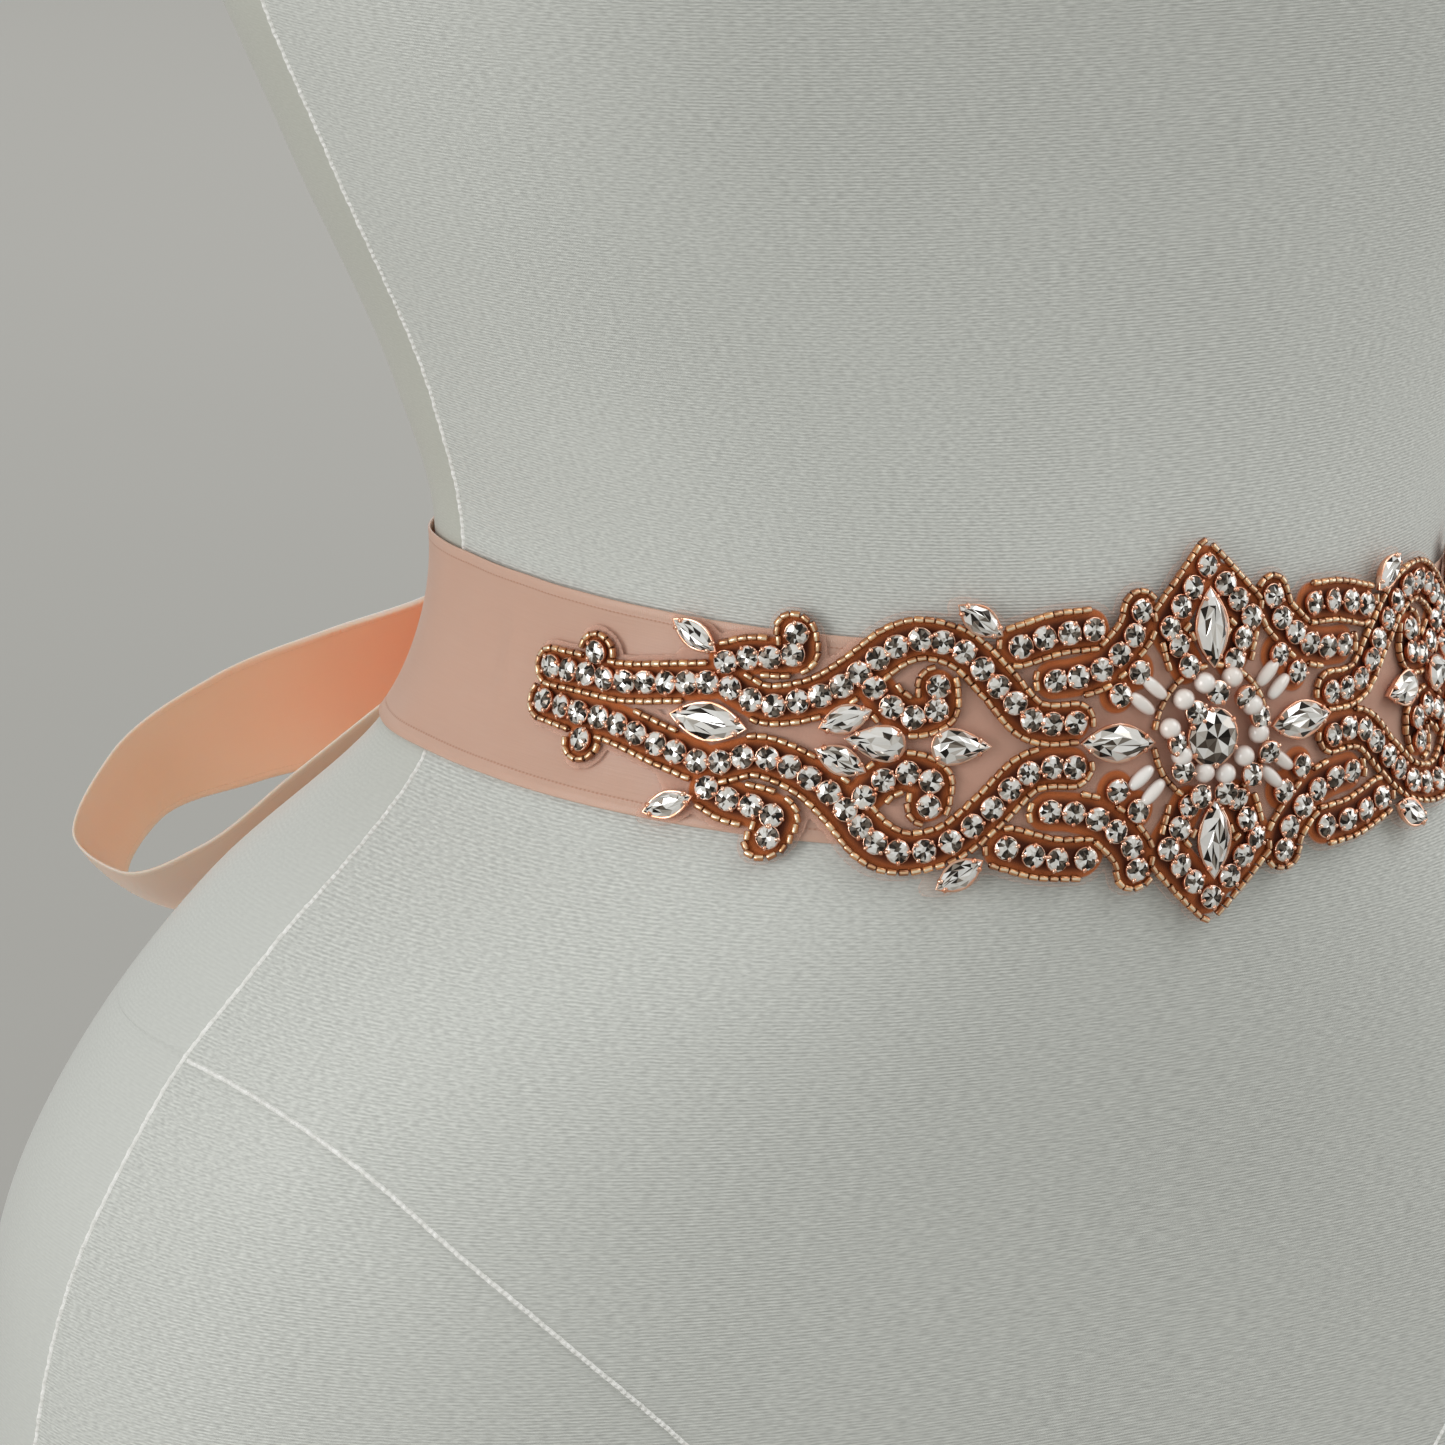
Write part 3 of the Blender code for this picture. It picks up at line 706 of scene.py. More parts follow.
angle, height = np.broadcast_arrays(angles[:, None], across)
grid = on_form(angle, height, out)
places = ribbon_places(arc, share[None], RIBBON_WIDTH)
waist_ribbon = cloth_of("waist_ribbon", grid, places, satin, wrapped=True)
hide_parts("ribbon_waist")


# Bow: the same ribbon tied behind. Each loop leaves the knot gathered and opens flat, drooping over the
# hip; the two ends hang down the back, cut on a slant; the knot is one turn of ribbon drawn tight over
# them. Light comes through the single cloth of the loops and ends; their satin, and the knot's, is also
# painted paler than the waist ribbon's, as painted light.
KNOT_HALF_WIDTH = 0.015
KNOT_MIDDLE_OUT = 0.0110
INTO_KNOT = 0.0045
LOOP_SWEEP = math.radians(25)
# along, back, rise, the width's lean forward and its swing outward in degrees, width: the strand above, the
# tip, the strand below
LOOP_PATH = (
    (0.0032, 0.0035, -0.002, 6, 0, 0.014),
    (0.0115, 0.0070, -0.004, 14, 6, 0.020),
    (0.027, 0.0090, -0.017, 30, 20, 0.031),
    (0.047, 0.0045, -0.029, 37, 27, 0.038),
    (0.066, 0.0025, -0.036, 34, 26, 0.038),
    (0.088, 0.0025, -0.044, 41, 25, 0.038),
    (0.109, 0.0005, -0.0565, 55, 22, 0.038),
    (0.1155, -0.0055, -0.0695, 61, 22, 0.038),
    (0.106, -0.0125, -0.074, 63, 22, 0.038),
    (0.090, -0.0165, -0.067, 64, 23, 0.038),
    (0.072, -0.0165, -0.0525, 62, 23, 0.038),
    (0.051, -0.0150, -0.0345, 60, 18, 0.038),
    (0.030, -0.0110, -0.0175, 52, 8, 0.031),
    (0.012, -0.0062, -0.0065, 24, 0, 0.020),
    (0.0004, -0.0035, -0.003, 6, 0, 0.014),
)
# height above the waist, middle's distance from the centre line, width, distance from the form
TAIL_PATH = (
    (-0.0200, 0.0085, 0.014, 0.0090),
    (-0.0350, 0.0110, 0.020, 0.0060),
    (-0.0550, 0.0190, 0.033, 0.0030),
    (-0.0850, 0.0270, 0.038, 0.0018),
    (-0.1300, 0.0350, 0.038, 0.0022),
    (-0.1800, 0.0420, 0.038, 0.0016),
    (-0.2200, 0.0470, 0.038, 0.0020),
)
TAIL_SLANT = 0.022
TAIL_ROOT = 0.005
LOOP_STATIONS = 190
TAIL_STATIONS = 120
BOW_SHARES = np.linspace(-0.5, 0.5, 31)


def knot_middle(height):
    """The knot's middle line, straight behind the form."""
    height = np.asarray(height, float)
    return on_form(np.full_like(height, math.pi), height, np.full_like(height, KNOT_MIDDLE_OUT))


rows = np.array(LOOP_PATH)
walked = walked_along(rows[:, :3])
table = np.column_stack([walked, rows])
at = np.linspace(0, walked[-1], LOOP_STATIONS)
along, back, rise, lean, swing, width = (smooth(table, column, at)[:, None] for column in range(1, 7))
lean, swing = np.radians(lean), np.radians(swing)
loop_length = float(walked[-1])
# painted light: the same satin as the waist, painted far paler for the light through the loops
loop_satin_painted_paler = satin_finish(
    "peach satin of the bow",
    mid=(1.000, 0.600, 0.490, 1),
    deep=(0.980, 0.565, 0.455, 1),
    pale=(1.000, 0.650, 0.560, 1),
    sheen=0.20,
    through=1.0,
    stitching=0.1,
    rolled=0.8,
    inner_painted_shade=(0.84, 0.64, 0.58, 1),
)
for name, solid, side in (("loop_left", "bow_loop_left", 1), ("loop_right", "bow_loop_right", -1)):
    outward = np.array([side * math.cos(LOOP_SWEEP), math.sin(LOOP_SWEEP), 0.0])
    behind = np.array([-side * math.sin(LOOP_SWEEP), math.cos(LOOP_SWEEP), 0.0])
    upward = np.array([0.0, 0.0, 1.0])
    start = knot_middle(0.0) + np.array([side * (KNOT_HALF_WIDTH + 2 * GAP), 0.0, 0.0])
    middles = start + along * outward + back * behind + rise * upward
    forward = unit(np.gradient(middles, axis=0))
    leaning = np.sin(swing) * outward - np.cos(swing) * behind
    widthwise = np.cos(lean) * upward + np.sin(lean) * leaning
    widthwise = unit(widthwise - np.sum(widthwise * forward, axis=1, keepdims=True) * forward)
    face = np.cross(forward, widthwise)
    from_root = np.minimum(at, loop_length - at)[:, None]
    pleats = 0.0010 * np.cos(math.tau * 3.5 * BOW_SHARES + side) * swell(from_root, 0.0, 0.026)
    pleats = pleats + 0.0007 * np.cos(math.tau * 1.5 * BOW_SHARES - 0.7) * swell(from_root, 0.030, 0.022)
    camber = 0.0011 * (1 - (2 * BOW_SHARES) ** 2) * np.sin(math.pi * at[:, None] / loop_length) ** 0.5
    grid = middles[:, None] + widthwise[:, None] * (width * BOW_SHARES)[..., None]
    grid = grid + face[:, None] * (pleats + camber)[..., None]
    inward = np.array([-side * INTO_KNOT, 0.0, 0.0])
    grid = np.concatenate([grid[:1] + inward, grid, grid[-1:] + inward])
    stations = np.concatenate([[-INTO_KNOT], at, [loop_length + INTO_KNOT]])
    places = ribbon_places(stations[:, None], BOW_SHARES[None], RIBBON_WIDTH)
    loop = cloth_of(name, grid if side < 0 else grid[:, ::-1], places, loop_satin_painted_paler)
    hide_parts(solid)

# painted light: the same satin as the waist, painted paler for the ends and the knot
end_satin_painted_paler = satin_finish(
    "peach satin of the ends",
    mid=(0.800, 0.495, 0.385, 1),
    deep=(0.775, 0.460, 0.350, 1),
    pale=(0.840, 0.560, 0.450, 1),
    sheen=0.20,
    through=0.5,
    stitching=0.4,
)
down = np.linspace(0, 1, TAIL_STATIONS)[:, None]
table = np.array(TAIL_PATH)[::-1]
for name, solid, side in (("tail_end_left", "tail_left", 1), ("tail_end_right", "tail_right", -1)):
    bottom = TAIL_PATH[-1][0] - TAIL_SLANT * BOW_SHARES
    height = TAIL_PATH[0][0] * (1 - down) + bottom * down
    known = np.clip(height, TAIL_PATH[-1][0], TAIL_PATH[0][0])
    middle, width, out = (smooth(table, column, known) for column in (1, 2, 3))
    fallen = TAIL_PATH[0][0] - height
    out = out + 0.0010 * np.cos(math.tau * 2.5 * BOW_SHARES + side) * swell(fallen, 0.0, 0.035)
    billow = 1 + np.sin(fallen * 55 + side * 1.3 + BOW_SHARES * 3.0)
    out = out + 0.0006 * billow * np.clip(fallen / 0.05, 0, 1)
    x = side * (middle - width * BOW_SHARES)
    half_width = smooth(FORM_SECTIONS, 1, height)
    turn = np.arcsin(np.clip(np.abs(x) / half_width, 0, 1) ** (1 / OVAL_POWER))
    angle = math.pi - turn * np.sign(x)
    grid = on_form(angle, height, out)
    grid = np.concatenate([grid[:1] + np.array([0.0, 0.0, TAIL_ROOT]), grid])
    fallen = np.concatenate([fallen[:1] - TAIL_ROOT, fallen])
    places = ribbon_places(fallen, BOW_SHARES[None], RIBBON_WIDTH)
    tail = cloth_of(name, grid if side > 0 else grid[:, ::-1], places, end_satin_painted_paler)
    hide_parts(solid)

KNOT_DEPTH = 0.0083
KNOT_HEIGHT = 0.0192
KNOT_REACH = 0.0144
KNOT_POWER = 0.72
turns = np.linspace(0, math.tau, 121)[:-1]
crosswise = np.linspace(-1, 1, 37)
t, c = np.meshgrid(turns, crosswise, indexing="ij")
end_roll = np.clip((np.abs(c) - 0.80) / 0.20, 0, 1)
fold = 0.00050 * np.cos(c * 15 + 1.2 * np.sin(t)) + 0.00035 * np.cos(c * 27 + 2.0 + 1.6 * np.cos(t))
half_depth = KNOT_DEPTH + fold - 0.0030 * end_roll**2
half_height = KNOT_HEIGHT + fold - 0.0040 * end_roll**2
y = half_depth * np.sign(np.cos(t)) * np.abs(np.cos(t)) ** KNOT_POWER
z = half_height * np.sign(np.sin(t)) * np.abs(np.sin(t)) ** KNOT_POWER
x = KNOT_REACH * c * (1 - 0.08 * np.cos(2 * t)) - 0.0006 * np.sin(t)
middle = knot_middle(z)
grid = np.stack([x, middle[..., 1] + y, middle[..., 2]], -1)
turn_length = walked_along(grid[:, len(crosswise) // 2])
places = ribbon_places(turn_length[:, None], crosswise[None] / 2, RIBBON_WIDTH)
knot = cloth_of("knot", grid, places, end_satin_painted_paler, wrapped=True)
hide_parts("bow_knot")


# Net of the ornament: fine peach tulle cut to its outline, whole between the rows and nearly clear where it
# passes the ribbon's edges; over the ribbon its pale threads also carry painted light. Under each row of
# stones lies a narrow raised bed painted copper-orange, a painted reflection of the cups, with painted
# shade next to the stones.
NET_OUT = 0.0020
NET_THICKNESS = 0.00012
NET_STEP = 0.62
NET_REACH = (141.0, 39.5)
NET_MARGIN = 5.2
STONE_MARGIN = 4.1
MIDDLE_DISC = 9.5
INNER_BAND = (100.0, 9.0)
BED_HALF = 3.75
BED_EDGE = 0.35
BED_RISE = 0.00030
PAINTED_COPPER_REFLECTION = (0.84, 0.255, 0.070, 1)
PAINTED_COPPER_REFLECTION_DARKER = (0.34, 0.070, 0.015, 1)
PAINTED_SHADE_NEXT_TO_STONES = (0.11, 0.024, 0.006, 1)
NET_THREAD_AND_PAINTED_LIGHT = (1.0, 0.66, 0.52, 1)
NET_SHADE = (0.98, 0.56, 0.42, 1)
# Each row of round stones: its line on one quarter in mm from the middle as along and up, how many stones,
# and whether a string of beads turns round its first and its last stone
ROWS = (
    (((131.5, 3.3), (124.0, 3.7), (115.0, 4.0), (105.0, 6.0), (97.2, 7.6)), 9, (True, False)),
    (
        (
            (93.0, 7.2), (86.0, 4.9), (77.0, 7.4), (70.0, 12.2), (63.0, 18.0), (57.0, 19.9),
            (50.0, 17.8), (44.0, 11.8), (38.5, 5.6), (34.0, 4.0), (29.0, 4.1),
        ),
        18,
        (False, True),
    ),
    (((94.0, 12.0), (89.0, 13.8), (83.5, 14.4), (80.5, 16.0), (80.5, 19.4)), 5, (False, True)),
    (((66.5, 10.2), (63.5, 6.8), (59.5, 5.2), (55.2, 6.8), (55.0, 11.0)), 5, (False, True)),
    (((39.7, 18.7), (32.0, 20.8), (25.0, 21.3)), 4, (True, False)),
    (((33.0, 12.2), (28.0, 12.7), (22.5, 14.6), (16.5, 20.0), (14.8, 24.0)), 6, (True, True)),
    (((3.6, 27.4), (6.3, 24.2), (9.2, 20.7), (7.3, 17.0), (5.2, 13.2)), 5, (False, False)),
    (((121.0, 8.6), (121.2, 8.7)), 1, (False, True)),
)
LONE_STONES = ((0.0, 31.0), (20.2, 9.0), (15.9, 13.0))
# along, up, length, width, turn in degrees, outline (navette or pear): one quarter, or on an axis
LARGE_STONES = (
    (0.0, 19.8, 15.0, 7.0, 90.0, "navette"),
    (20.6, 0.0, 15.0, 7.0, 0.0, "navette"),
    (96.4, 0.0, 15.0, 7.0, 0.0, "navette"),
    (71.6, 3.9, 10.0, 5.0, -24.0, "navette"),
    (66.0, 0.0, 11.0, 6.5, 0.0, "pear"),
    (50.4, 0.0, 11.0, 6.5, 180.0, "pear"),
    (46.6, 23.6, 10.0, 5.0, 30.0, "navette"),
    (99.8, 16.4, 10.0, 4.8, 28.0, "navette"),
)
MIRRORS = ((-1, 1), (-1, -1), (1, 1), (1, -1))
BATCH = 20000


def at_lengths(line, at):
    """Points of a line at these lengths along it."""
    walked = walked_along(line)
    return np.stack([np.interp(at, walked, line[:, k]) for k in range(line.shape[1])], 1)


def evenly(line, step, count=None):
    """Points this far apart along a line, or this many of them, both ends included."""
    length = walked_along(line)[-1]
    return at_lengths(line, np.linspace(0, length, count or max(2, int(round(length / step)) + 1)))


def smooth_line(points, step=0.15):
    """A smooth line through points on the plane, as points this far apart in mm."""
    points = np.array(points, float)
    ends = np.concatenate([[2 * points[0] - points[1]], points, [2 * points[-1] - points[-2]]])
    t = np.linspace(0, 1, 40, endpoint=False)[:, None]
    found = []
    for a, b, c, d in zip(ends, ends[1:], ends[2:], ends[3:]):
        curve = (2 * a - 5 * b + 4 * c - d) * t**2 + (3 * b - a - 3 * c + d) * t**3
        found.append(0.5 * (2 * b + (c - a) * t + curve))
    return evenly(np.concatenate([*found, points[-1:]]), step)


def mirrored(points, signs):
    """Points of one quarter in the quarter with these signs."""
    return np.asarray(points, float) * np.array(signs, float)


def row_distance(points):
    """The distance in mm from each point to the nearest line of round stones, with all quarters folded
    on one."""
    folded = np.abs(np.asarray(points, float))
    nearest = np.full(len(folded), 1e9)
    for line in row_lines:
        for start in range(0, len(folded), BATCH):
            part = slice(start, start + BATCH)
            gap = np.linalg.norm(folded[part, None] - line[None, ::4], axis=-1).min(1)
            nearest[part] = np.minimum(nearest[part], gap)
    return nearest


def stone_distance(points):
    """How far outside the nearest large stone each point is, in mm."""
    folded = np.abs(np.asarray(points, float))
    nearest = np.full(len(folded), 1e9)
    for x, y, length, width, turn, _ in LARGE_STONES:
        turn = math.radians(turn)
        lengthwise = (folded[:, 0] - x) * math.cos(turn) + (folded[:, 1] - y) * math.sin(turn)
        crosswise = (folded[:, 1] - y) * math.cos(turn) - (folded[:, 0] - x) * math.sin(turn)
        share = np.hypot(lengthwise / (length / 2), crosswise / (width / 2))
        from_edge = np.hypot(lengthwise, crosswise) * (1 - 1 / np.maximum(share, 1e-6))
        nearest = np.minimum(nearest, from_edge)
    return nearest


row_lines = [smooth_line(points) for points, _, _ in ROWS]
row_lines += [np.array([point]) for point in (*LONE_STONES, (0.0, 0.0))]


def on_net(along_up, out):
    """Points on the ornament from places in mm and distances from the form in metres, with their
    directions."""
    along_up = np.asarray(along_up, float)
    angle, height = angle_of_arc(along_up[..., 0] / 1000), along_up[..., 1] / 1000
    return on_form(angle, height, out), directions_on_form(angle, height)


columns, rows_up = (np.arange(-far, far + 0.01, NET_STEP) for far in NET_REACH)
u, v = np.meshgrid(columns, rows_up)
flat = np.stack([u.ravel(), v.ravel()], 1)
near_row, near_stone = row_distance(flat), stone_distance(flat)
reach = np.minimum(near_row, near_stone + STONE_MARGIN)
reach = np.minimum(reach, np.hypot(flat[:, 0], flat[:, 1]) - MIDDLE_DISC)
reach = np.minimum(reach, np.linalg.norm(np.clip(np.abs(flat) - INNER_BAND, 0, None), axis=1))
bed = np.clip((BED_HALF + BED_EDGE - near_row) / (2 * BED_EDGE), 0, 1)
billow = 0.00010 * np.sin(flat[:, 0] * 0.9 + flat[:, 1] * 0.4) * np.cos(flat[:, 1] * 0.7)
top, _ = on_net(flat, NET_OUT + NET_THICKNESS / 2 + BED_RISE * bed + billow * (1 - bed))
under, _ = on_net(flat, NET_OUT - NET_THICKNESS / 2 + billow)
keep = (reach < NET_MARGIN + 0.5).reshape(u.shape)
faces = np.array(grid_faces(*u.shape))
kept_faces = faces[keep.ravel()[faces].all(1)]
count = len(flat)
edges = np.concatenate([kept_faces[:, [k, (k + 1) % 4]] for k in range(4)])
_, index, times = np.unique(np.sort(edges, 1), axis=0, return_index=True, return_counts=True)
rim = edges[index[times == 1]]
walls = np.stack([rim[:, 1], rim[:, 0], rim[:, 0] + count, rim[:, 1] + count], 1)
all_faces = np.concatenate([kept_faces, kept_faces[:, ::-1] + count, walls])
used, all_faces = np.unique(all_faces, return_inverse=True)
points = np.concatenate([top, under])[used]
places = np.concatenate([np.column_stack([flat / 1000, near_row])] * 2)[used]
spread = np.concatenate([np.column_stack([reach] * 3)] * 2)[used]

net_finish, tree, shader = new_finish(
    "net and painted copper bed", Roughness=0.55, Specular_IOR_Level=0.3, Sheen_Weight=0.10
)
place = kept_value(tree, "place")
reach_value = apart(tree, kept_value(tree, "spread"))[0]
row_value = apart(tree, place)[2]
# painted reflection: the bed under each row is painted copper-orange for the light thrown from the cups
painted_copper_share = between(tree, row_value, BED_HALF + 0.30, BED_HALF - 0.30)
painted_copper_tone = effect(tree, mottle, Place=place, Colour=PAINTED_COPPER_REFLECTION, Second=PAINTED_COPPER_REFLECTION_DARKER, Scale=700.0, Amount=0.9)
# painted shade: the bed turns dark next to the stones, where shade falls
painted_copper_and_shade = blend_colours(tree, between(tree, row_value, 1.4, 3.3), PAINTED_SHADE_NEXT_TO_STONES, painted_copper_tone["Colour"])
net_tone = effect(tree, mottle, Place=place, Colour=NET_THREAD_AND_PAINTED_LIGHT, Second=NET_SHADE, Scale=240.0, Amount=0.7)
tree.links.new(blend_colours(tree, painted_copper_share, net_tone["Colour"], painted_copper_and_shade), shader.inputs["Base Color"])
cells = node(tree, "ShaderNodeTexVoronoi", {"Vector": place, "Scale": 1700.0}, feature="DISTANCE_TO_EDGE")
thread_share = between(tree, cells.outputs["Distance"], 0.14, 0.04, 0.25, 0.70)
# painted light: the net's pale peach threads show more over the ribbon, lifting the shade between the rows
painted_lift_over_ribbon = between(tree, maths(tree, "ABSOLUTE", apart(tree, place)[1]), 0.0198, 0.0180, 0.16, 1.0)
thread_share = maths(tree, "MULTIPLY", thread_share, painted_lift_over_ribbon)
rim_share = between(tree, reach_value, NET_MARGIN - 0.35, NET_MARGIN - 0.15, 0.0, 0.20)
inside = between(tree, reach_value, NET_MARGIN + 0.1, NET_MARGIN - 0.1)
covering = maths(tree, "MAXIMUM", maths(tree, "MAXIMUM", thread_share, rim_share), painted_copper_share)
tree.links.new(maths(tree, "MULTIPLY", covering, inside), shader.inputs["Alpha"])
threads = effect(
    tree, ribs, Place=place, Across=apart(tree, place)[0], Pitch=0.0004, Waver=0.8, Breaks=900.0
)
emboss(tree, shader, threads["Height"], 0.0001, 0.5)
all_faces = all_faces.reshape(-1, 4).tolist()
net = new_piece("ornament_net", points, all_faces, net_finish, "beading", place=places, spread=spread)
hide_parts("applique")


# Round stones: 4.4 mm cut glass with foil behind it. Each sits in a pressed cup plated in rose gold, with
# claws bent over its edge, and a thread goes through the cup's holes into the net.
ROW_GIRDLE_OUT = 3.75
CLAW_LEAN = math.radians(26)
CLAW_HEIGHT = 0.24
ROUND_CLAW = (0.62, 0.44, 0.38)
ROUND_WEIGHTS = (0.28, 0.20, 0.20, 0.32)
ROSE_GOLD = (1.0, 0.66, 0.50, 1)
ROSE_GOLD_WORN = (0.86, 0.38, 0.22, 1)
draws = np.random.default_rng(38)
rose_gold, tree, shader = new_finish("rose gold plate", Metallic=1.0, Coat_Weight=0.0)
spot = node(tree, "ShaderNodeTexCoord").outputs["Object"]
tone = effect(tree, mottle, Place=spot, Colour=ROSE_GOLD, Second=ROSE_GOLD_WORN, Scale=420.0, Amount=0.9)
tree.links.new(tone["Colour"], shader.inputs["Base Color"])
tree.links.new(between(tree, tone["Value"], 0.0, 1.0, 0.16, 0.30), shader.inputs["Roughness"])


def tone_colours(tree, tone, stops):
    """A colour for each tone from 0 to 1, through stops of a tone and its colour."""
    made = node(tree, "ShaderNodeValToRGB", {0: tone})
    ramp = made.color_ramp
    ramp.elements[0].color = stops[0][1]
    ramp.elements[1].color = stops[-1][1]
    for stop, colour in stops[1:-1]:
        ramp.elements.new(stop).color = colour
    return made.outputs[0]


# painted reflections: each facet's colour, black through grey to white, is painted in
foiled_glass, tree, shader = new_finish(
    "foiled glass",
    Metallic=0.45,
    Roughness=0.06,
    Specular_IOR_Level=0.15,
    Coat_Weight=0.25,
    Coat_Roughness=0.01,
)
painted_glass_reflection = tone_colours(
    tree,
    kept_value(tree, "facet", "Fac"),
    (
        (0.0, (0.018, 0.014, 0.011, 1)),
        (0.30, (0.095, 0.070, 0.052, 1)),
        (0.55, (0.37, 0.325, 0.275, 1)),
        (0.80, (0.93, 0.90, 0.85, 1)),
        (1.0, (1.0, 0.99, 0.97, 1)),
    ),
)
tree.links.new(painted_glass_reflection, shader.inputs["Base Color"])


def lay(name, template, frames, finish, smooth_faces=True, painted_face_tones=None):
    """Copies of a small shape, each placed by a frame (origin and three axes, in metres per mm), as one
    piece."""
    points, faces = template
    placed = np.einsum("nk,mkj->mnj", points, frames[:, 1:]) + frames[:, :1]
    numbered = faces[None] + (np.arange(len(frames)) * len(points))[:, None, None]
    return new_piece(name, placed, numbered.reshape(-1, 3).tolist(), finish, "beading", smooth_faces, painted_face_tones)


def joined(*templates):
    """Several small shapes as one."""
    starts = np.cumsum([0] + [len(points) for points, _ in templates])
    points = np.concatenate([points for points, _ in templates])
    return points, np.concatenate([faces + start for (_, faces), start in zip(templates, starts)])


def set_frames(places, out_mm, turn, lean, size=1.0):
    """Frames for shapes set on the net: at places in mm, their middle this far from the form, turned and
    tipped by chance."""
    places = np.atleast_2d(np.asarray(places, float))
    count = len(places)
    origin, (along, _, out) = on_net(places, np.broadcast_to(np.asarray(out_mm, float) / 1000, count))
    up = np.cross(out, along)
    turn = np.broadcast_to(np.asarray(turn, float), count)[:, None]
    along, up = along * np.cos(turn) + up * np.sin(turn), up * np.cos(turn) - along * np.sin(turn)
    tips = draws.normal(0.0, 1.0, (count, 2)) * lean
    out = unit(out + along * tips[:, :1] + up * tips[:, 1:])
    along = unit(np.cross(up, out))
    up = np.cross(out, along)
    scale = np.broadcast_to(np.asarray(size, float), count)[:, None] / 1000
    return np.stack([origin, along * scale, up * scale, out * scale], 1)


def claw(x, y, direction, size):
    """A bent claw tip over a stone's edge: a small rounded tab leaning inward."""
    points, faces = turned([(0, -1.0), (0.62, -0.78), (1.0, 0.0), (0.72, 0.70), (0, 1.0)], 8)
    c, s = math.cos(direction), math.sin(direction)
    spin = np.array([[c, -s, 0], [s, c, 0], [0, 0, 1]])
    c, s = math.cos(CLAW_LEAN), math.sin(CLAW_LEAN)
    tilt = np.array([[c, 0, s], [0, 1, 0], [-s, 0, c]])
    return points @ (spin @ tilt @ np.diag(size)).T + (x, y, CLAW_HEIGHT), faces


def clawed_cup(profile, sides, radius, turns, size):
    """A round cup with its claws."""
    claws = [claw(radius * math.cos(turn), radius * math.sin(turn), turn, size) for turn in turns]
    return joined(turned(profile, sides), *claws)


def round_cup():
    profile = (
        (0, -1.45), (1.85, -1.45), (2.28, -0.9), (2.36, -0.25), (2.28, -0.02), (2.05, -0.10), (0, -0.3),
    )
    return clawed_cup(profile, 18, 2.12, np.arange(4) * math.pi / 2 + 0.4, ROUND_CLAW)


def round_stone():
    """A round brilliant seen from its front: edge facets, twelve pairs of wedges and a dished star."""
    profile = [(0, -0.7), (2.22, -0.02), (1.86, 0.30), (0.92, 0.60), (0, 0.46)]
    return turned(profile, 12, twist=0.5)


def painted_facet_reflections(template, count, weights, sided=False):
    """A painted reflection for each facet of each stone: a tone from black through grey to white, standing in
    for what cut glass over foil throws back. A sided stone is painted bright on two sides and dark on the two
    between them."""
    points, faces = template
    middles = points[faces].mean(1)
    directions = np.arctan2(middles[:, 1], middles[:, 0])
    painted_tones = draws.choice(len(weights), size=(count, len(faces)), p=weights) / (len(weights) - 1)
    facing = np.cos(2 * (directions - draws.uniform(0, math.pi, (count, 1))))
    if sided:
        painted_tones = np.where(facing > 0.55, np.maximum(painted_tones, 0.80), painted_tones)
        painted_tones = np.where(facing < -0.60, np.minimum(painted_tones, 0.33), painted_tones)
    return np.clip(painted_tones + draws.normal(0, 0.07, painted_tones.shape), 0, 1)


row_places = []
for (points, stones, _), line in zip(ROWS, row_lines):
    along_row = evenly(line, 1.0, stones) if stones > 1 else line[:1]
    for signs in MIRRORS:
        row_places.append(mirrored(along_row, signs))
for x, y in LONE_STONES:
    for signs in MIRRORS if x else MIRRORS[2:]:
        row_places.append(mirrored([(x, y)], signs))
row_places = np.concatenate(row_places)
row_places += draws.normal(0, 0.10, row_places.shape)
heights_out = ROW_GIRDLE_OUT + draws.normal(0, 0.06, len(row_places))
frames = set_frames(row_places, heights_out, draws.uniform(0, math.tau, len(row_places)), 0.075)
stone = round_stone()
painted_face_tones = painted_facet_reflections(stone, len(frames), ROUND_WEIGHTS, sided=True)
sewn_on = [
    lay("round_stones", stone, frames, foiled_glass, False, painted_face_tones),
    lay("round_cups", round_cup(), frames, rose_gold),
]


# Long stones: navettes and pears of cut glass, sewn in the same plated cups, with four claws near their
# ends.
LONG_GIRDLE_OUT = 3.9
LONG_CLAW = (0.72, 0.50, 0.40)
LONG_WEIGHTS = (0.16, 0.12, 0.20, 0.52)
# which points of an outline of 64 carry the claws
CLAW_SPOTS = {"navette": (7, 25, 39, 57), "pear": (9, 26, 38, 55)}


def outline_of(kind, length, width, count):
    """A stone's outline turning left, in mm, starting from its right end; a pear's point is at the right."""
    t = np.arange(count) * math.tau / count
    if kind == "navette":
        bulge = np.where(np.abs(np.sin(t)) < 1e-6, 0, 1 - np.abs(np.cos(t)) ** 1.9) * np.sign(np.sin(t))
    else:
        bulge = np.sin(t) * np.abs(np.sin(t / 2)) ** 1.15
        bulge = bulge / np.abs(bulge).max()
    return np.stack([np.cos(t) * length / 2, bulge * width / 2], 1)


def ring_at(outline, height, share_x, share_y, grow=0.0):
    """An outline at a height, drawn in by two shares or grown by a margin in mm."""
    length, width = np.abs(outline).max(0)
    scaled = outline * (share_x * (1 + grow / length), share_y * (1 + grow / width))
    return np.column_stack([scaled, np.full(len(scaled), height)])


def long_stone(kind, length, width):
    """Facets in long splinters each side of a broad, slightly dished table."""
    outline = outline_of(kind, length, width, 12)
    shifted = (outline + np.roll(outline, -1, 0)) / 2
    high = 0.21 * width
    rings = [
        np.array([[0.0, 0.0, -0.6]]),
        ring_at(outline, 0.0, 1, 1),
        ring_at(shifted, high * 0.62, 0.84, 0.74),
        ring_at(outline, high, 0.56, 0.42),
        np.array([[0.06 * length, 0.02 * width, high * 0.86]]),
    ]
    return loft(rings)


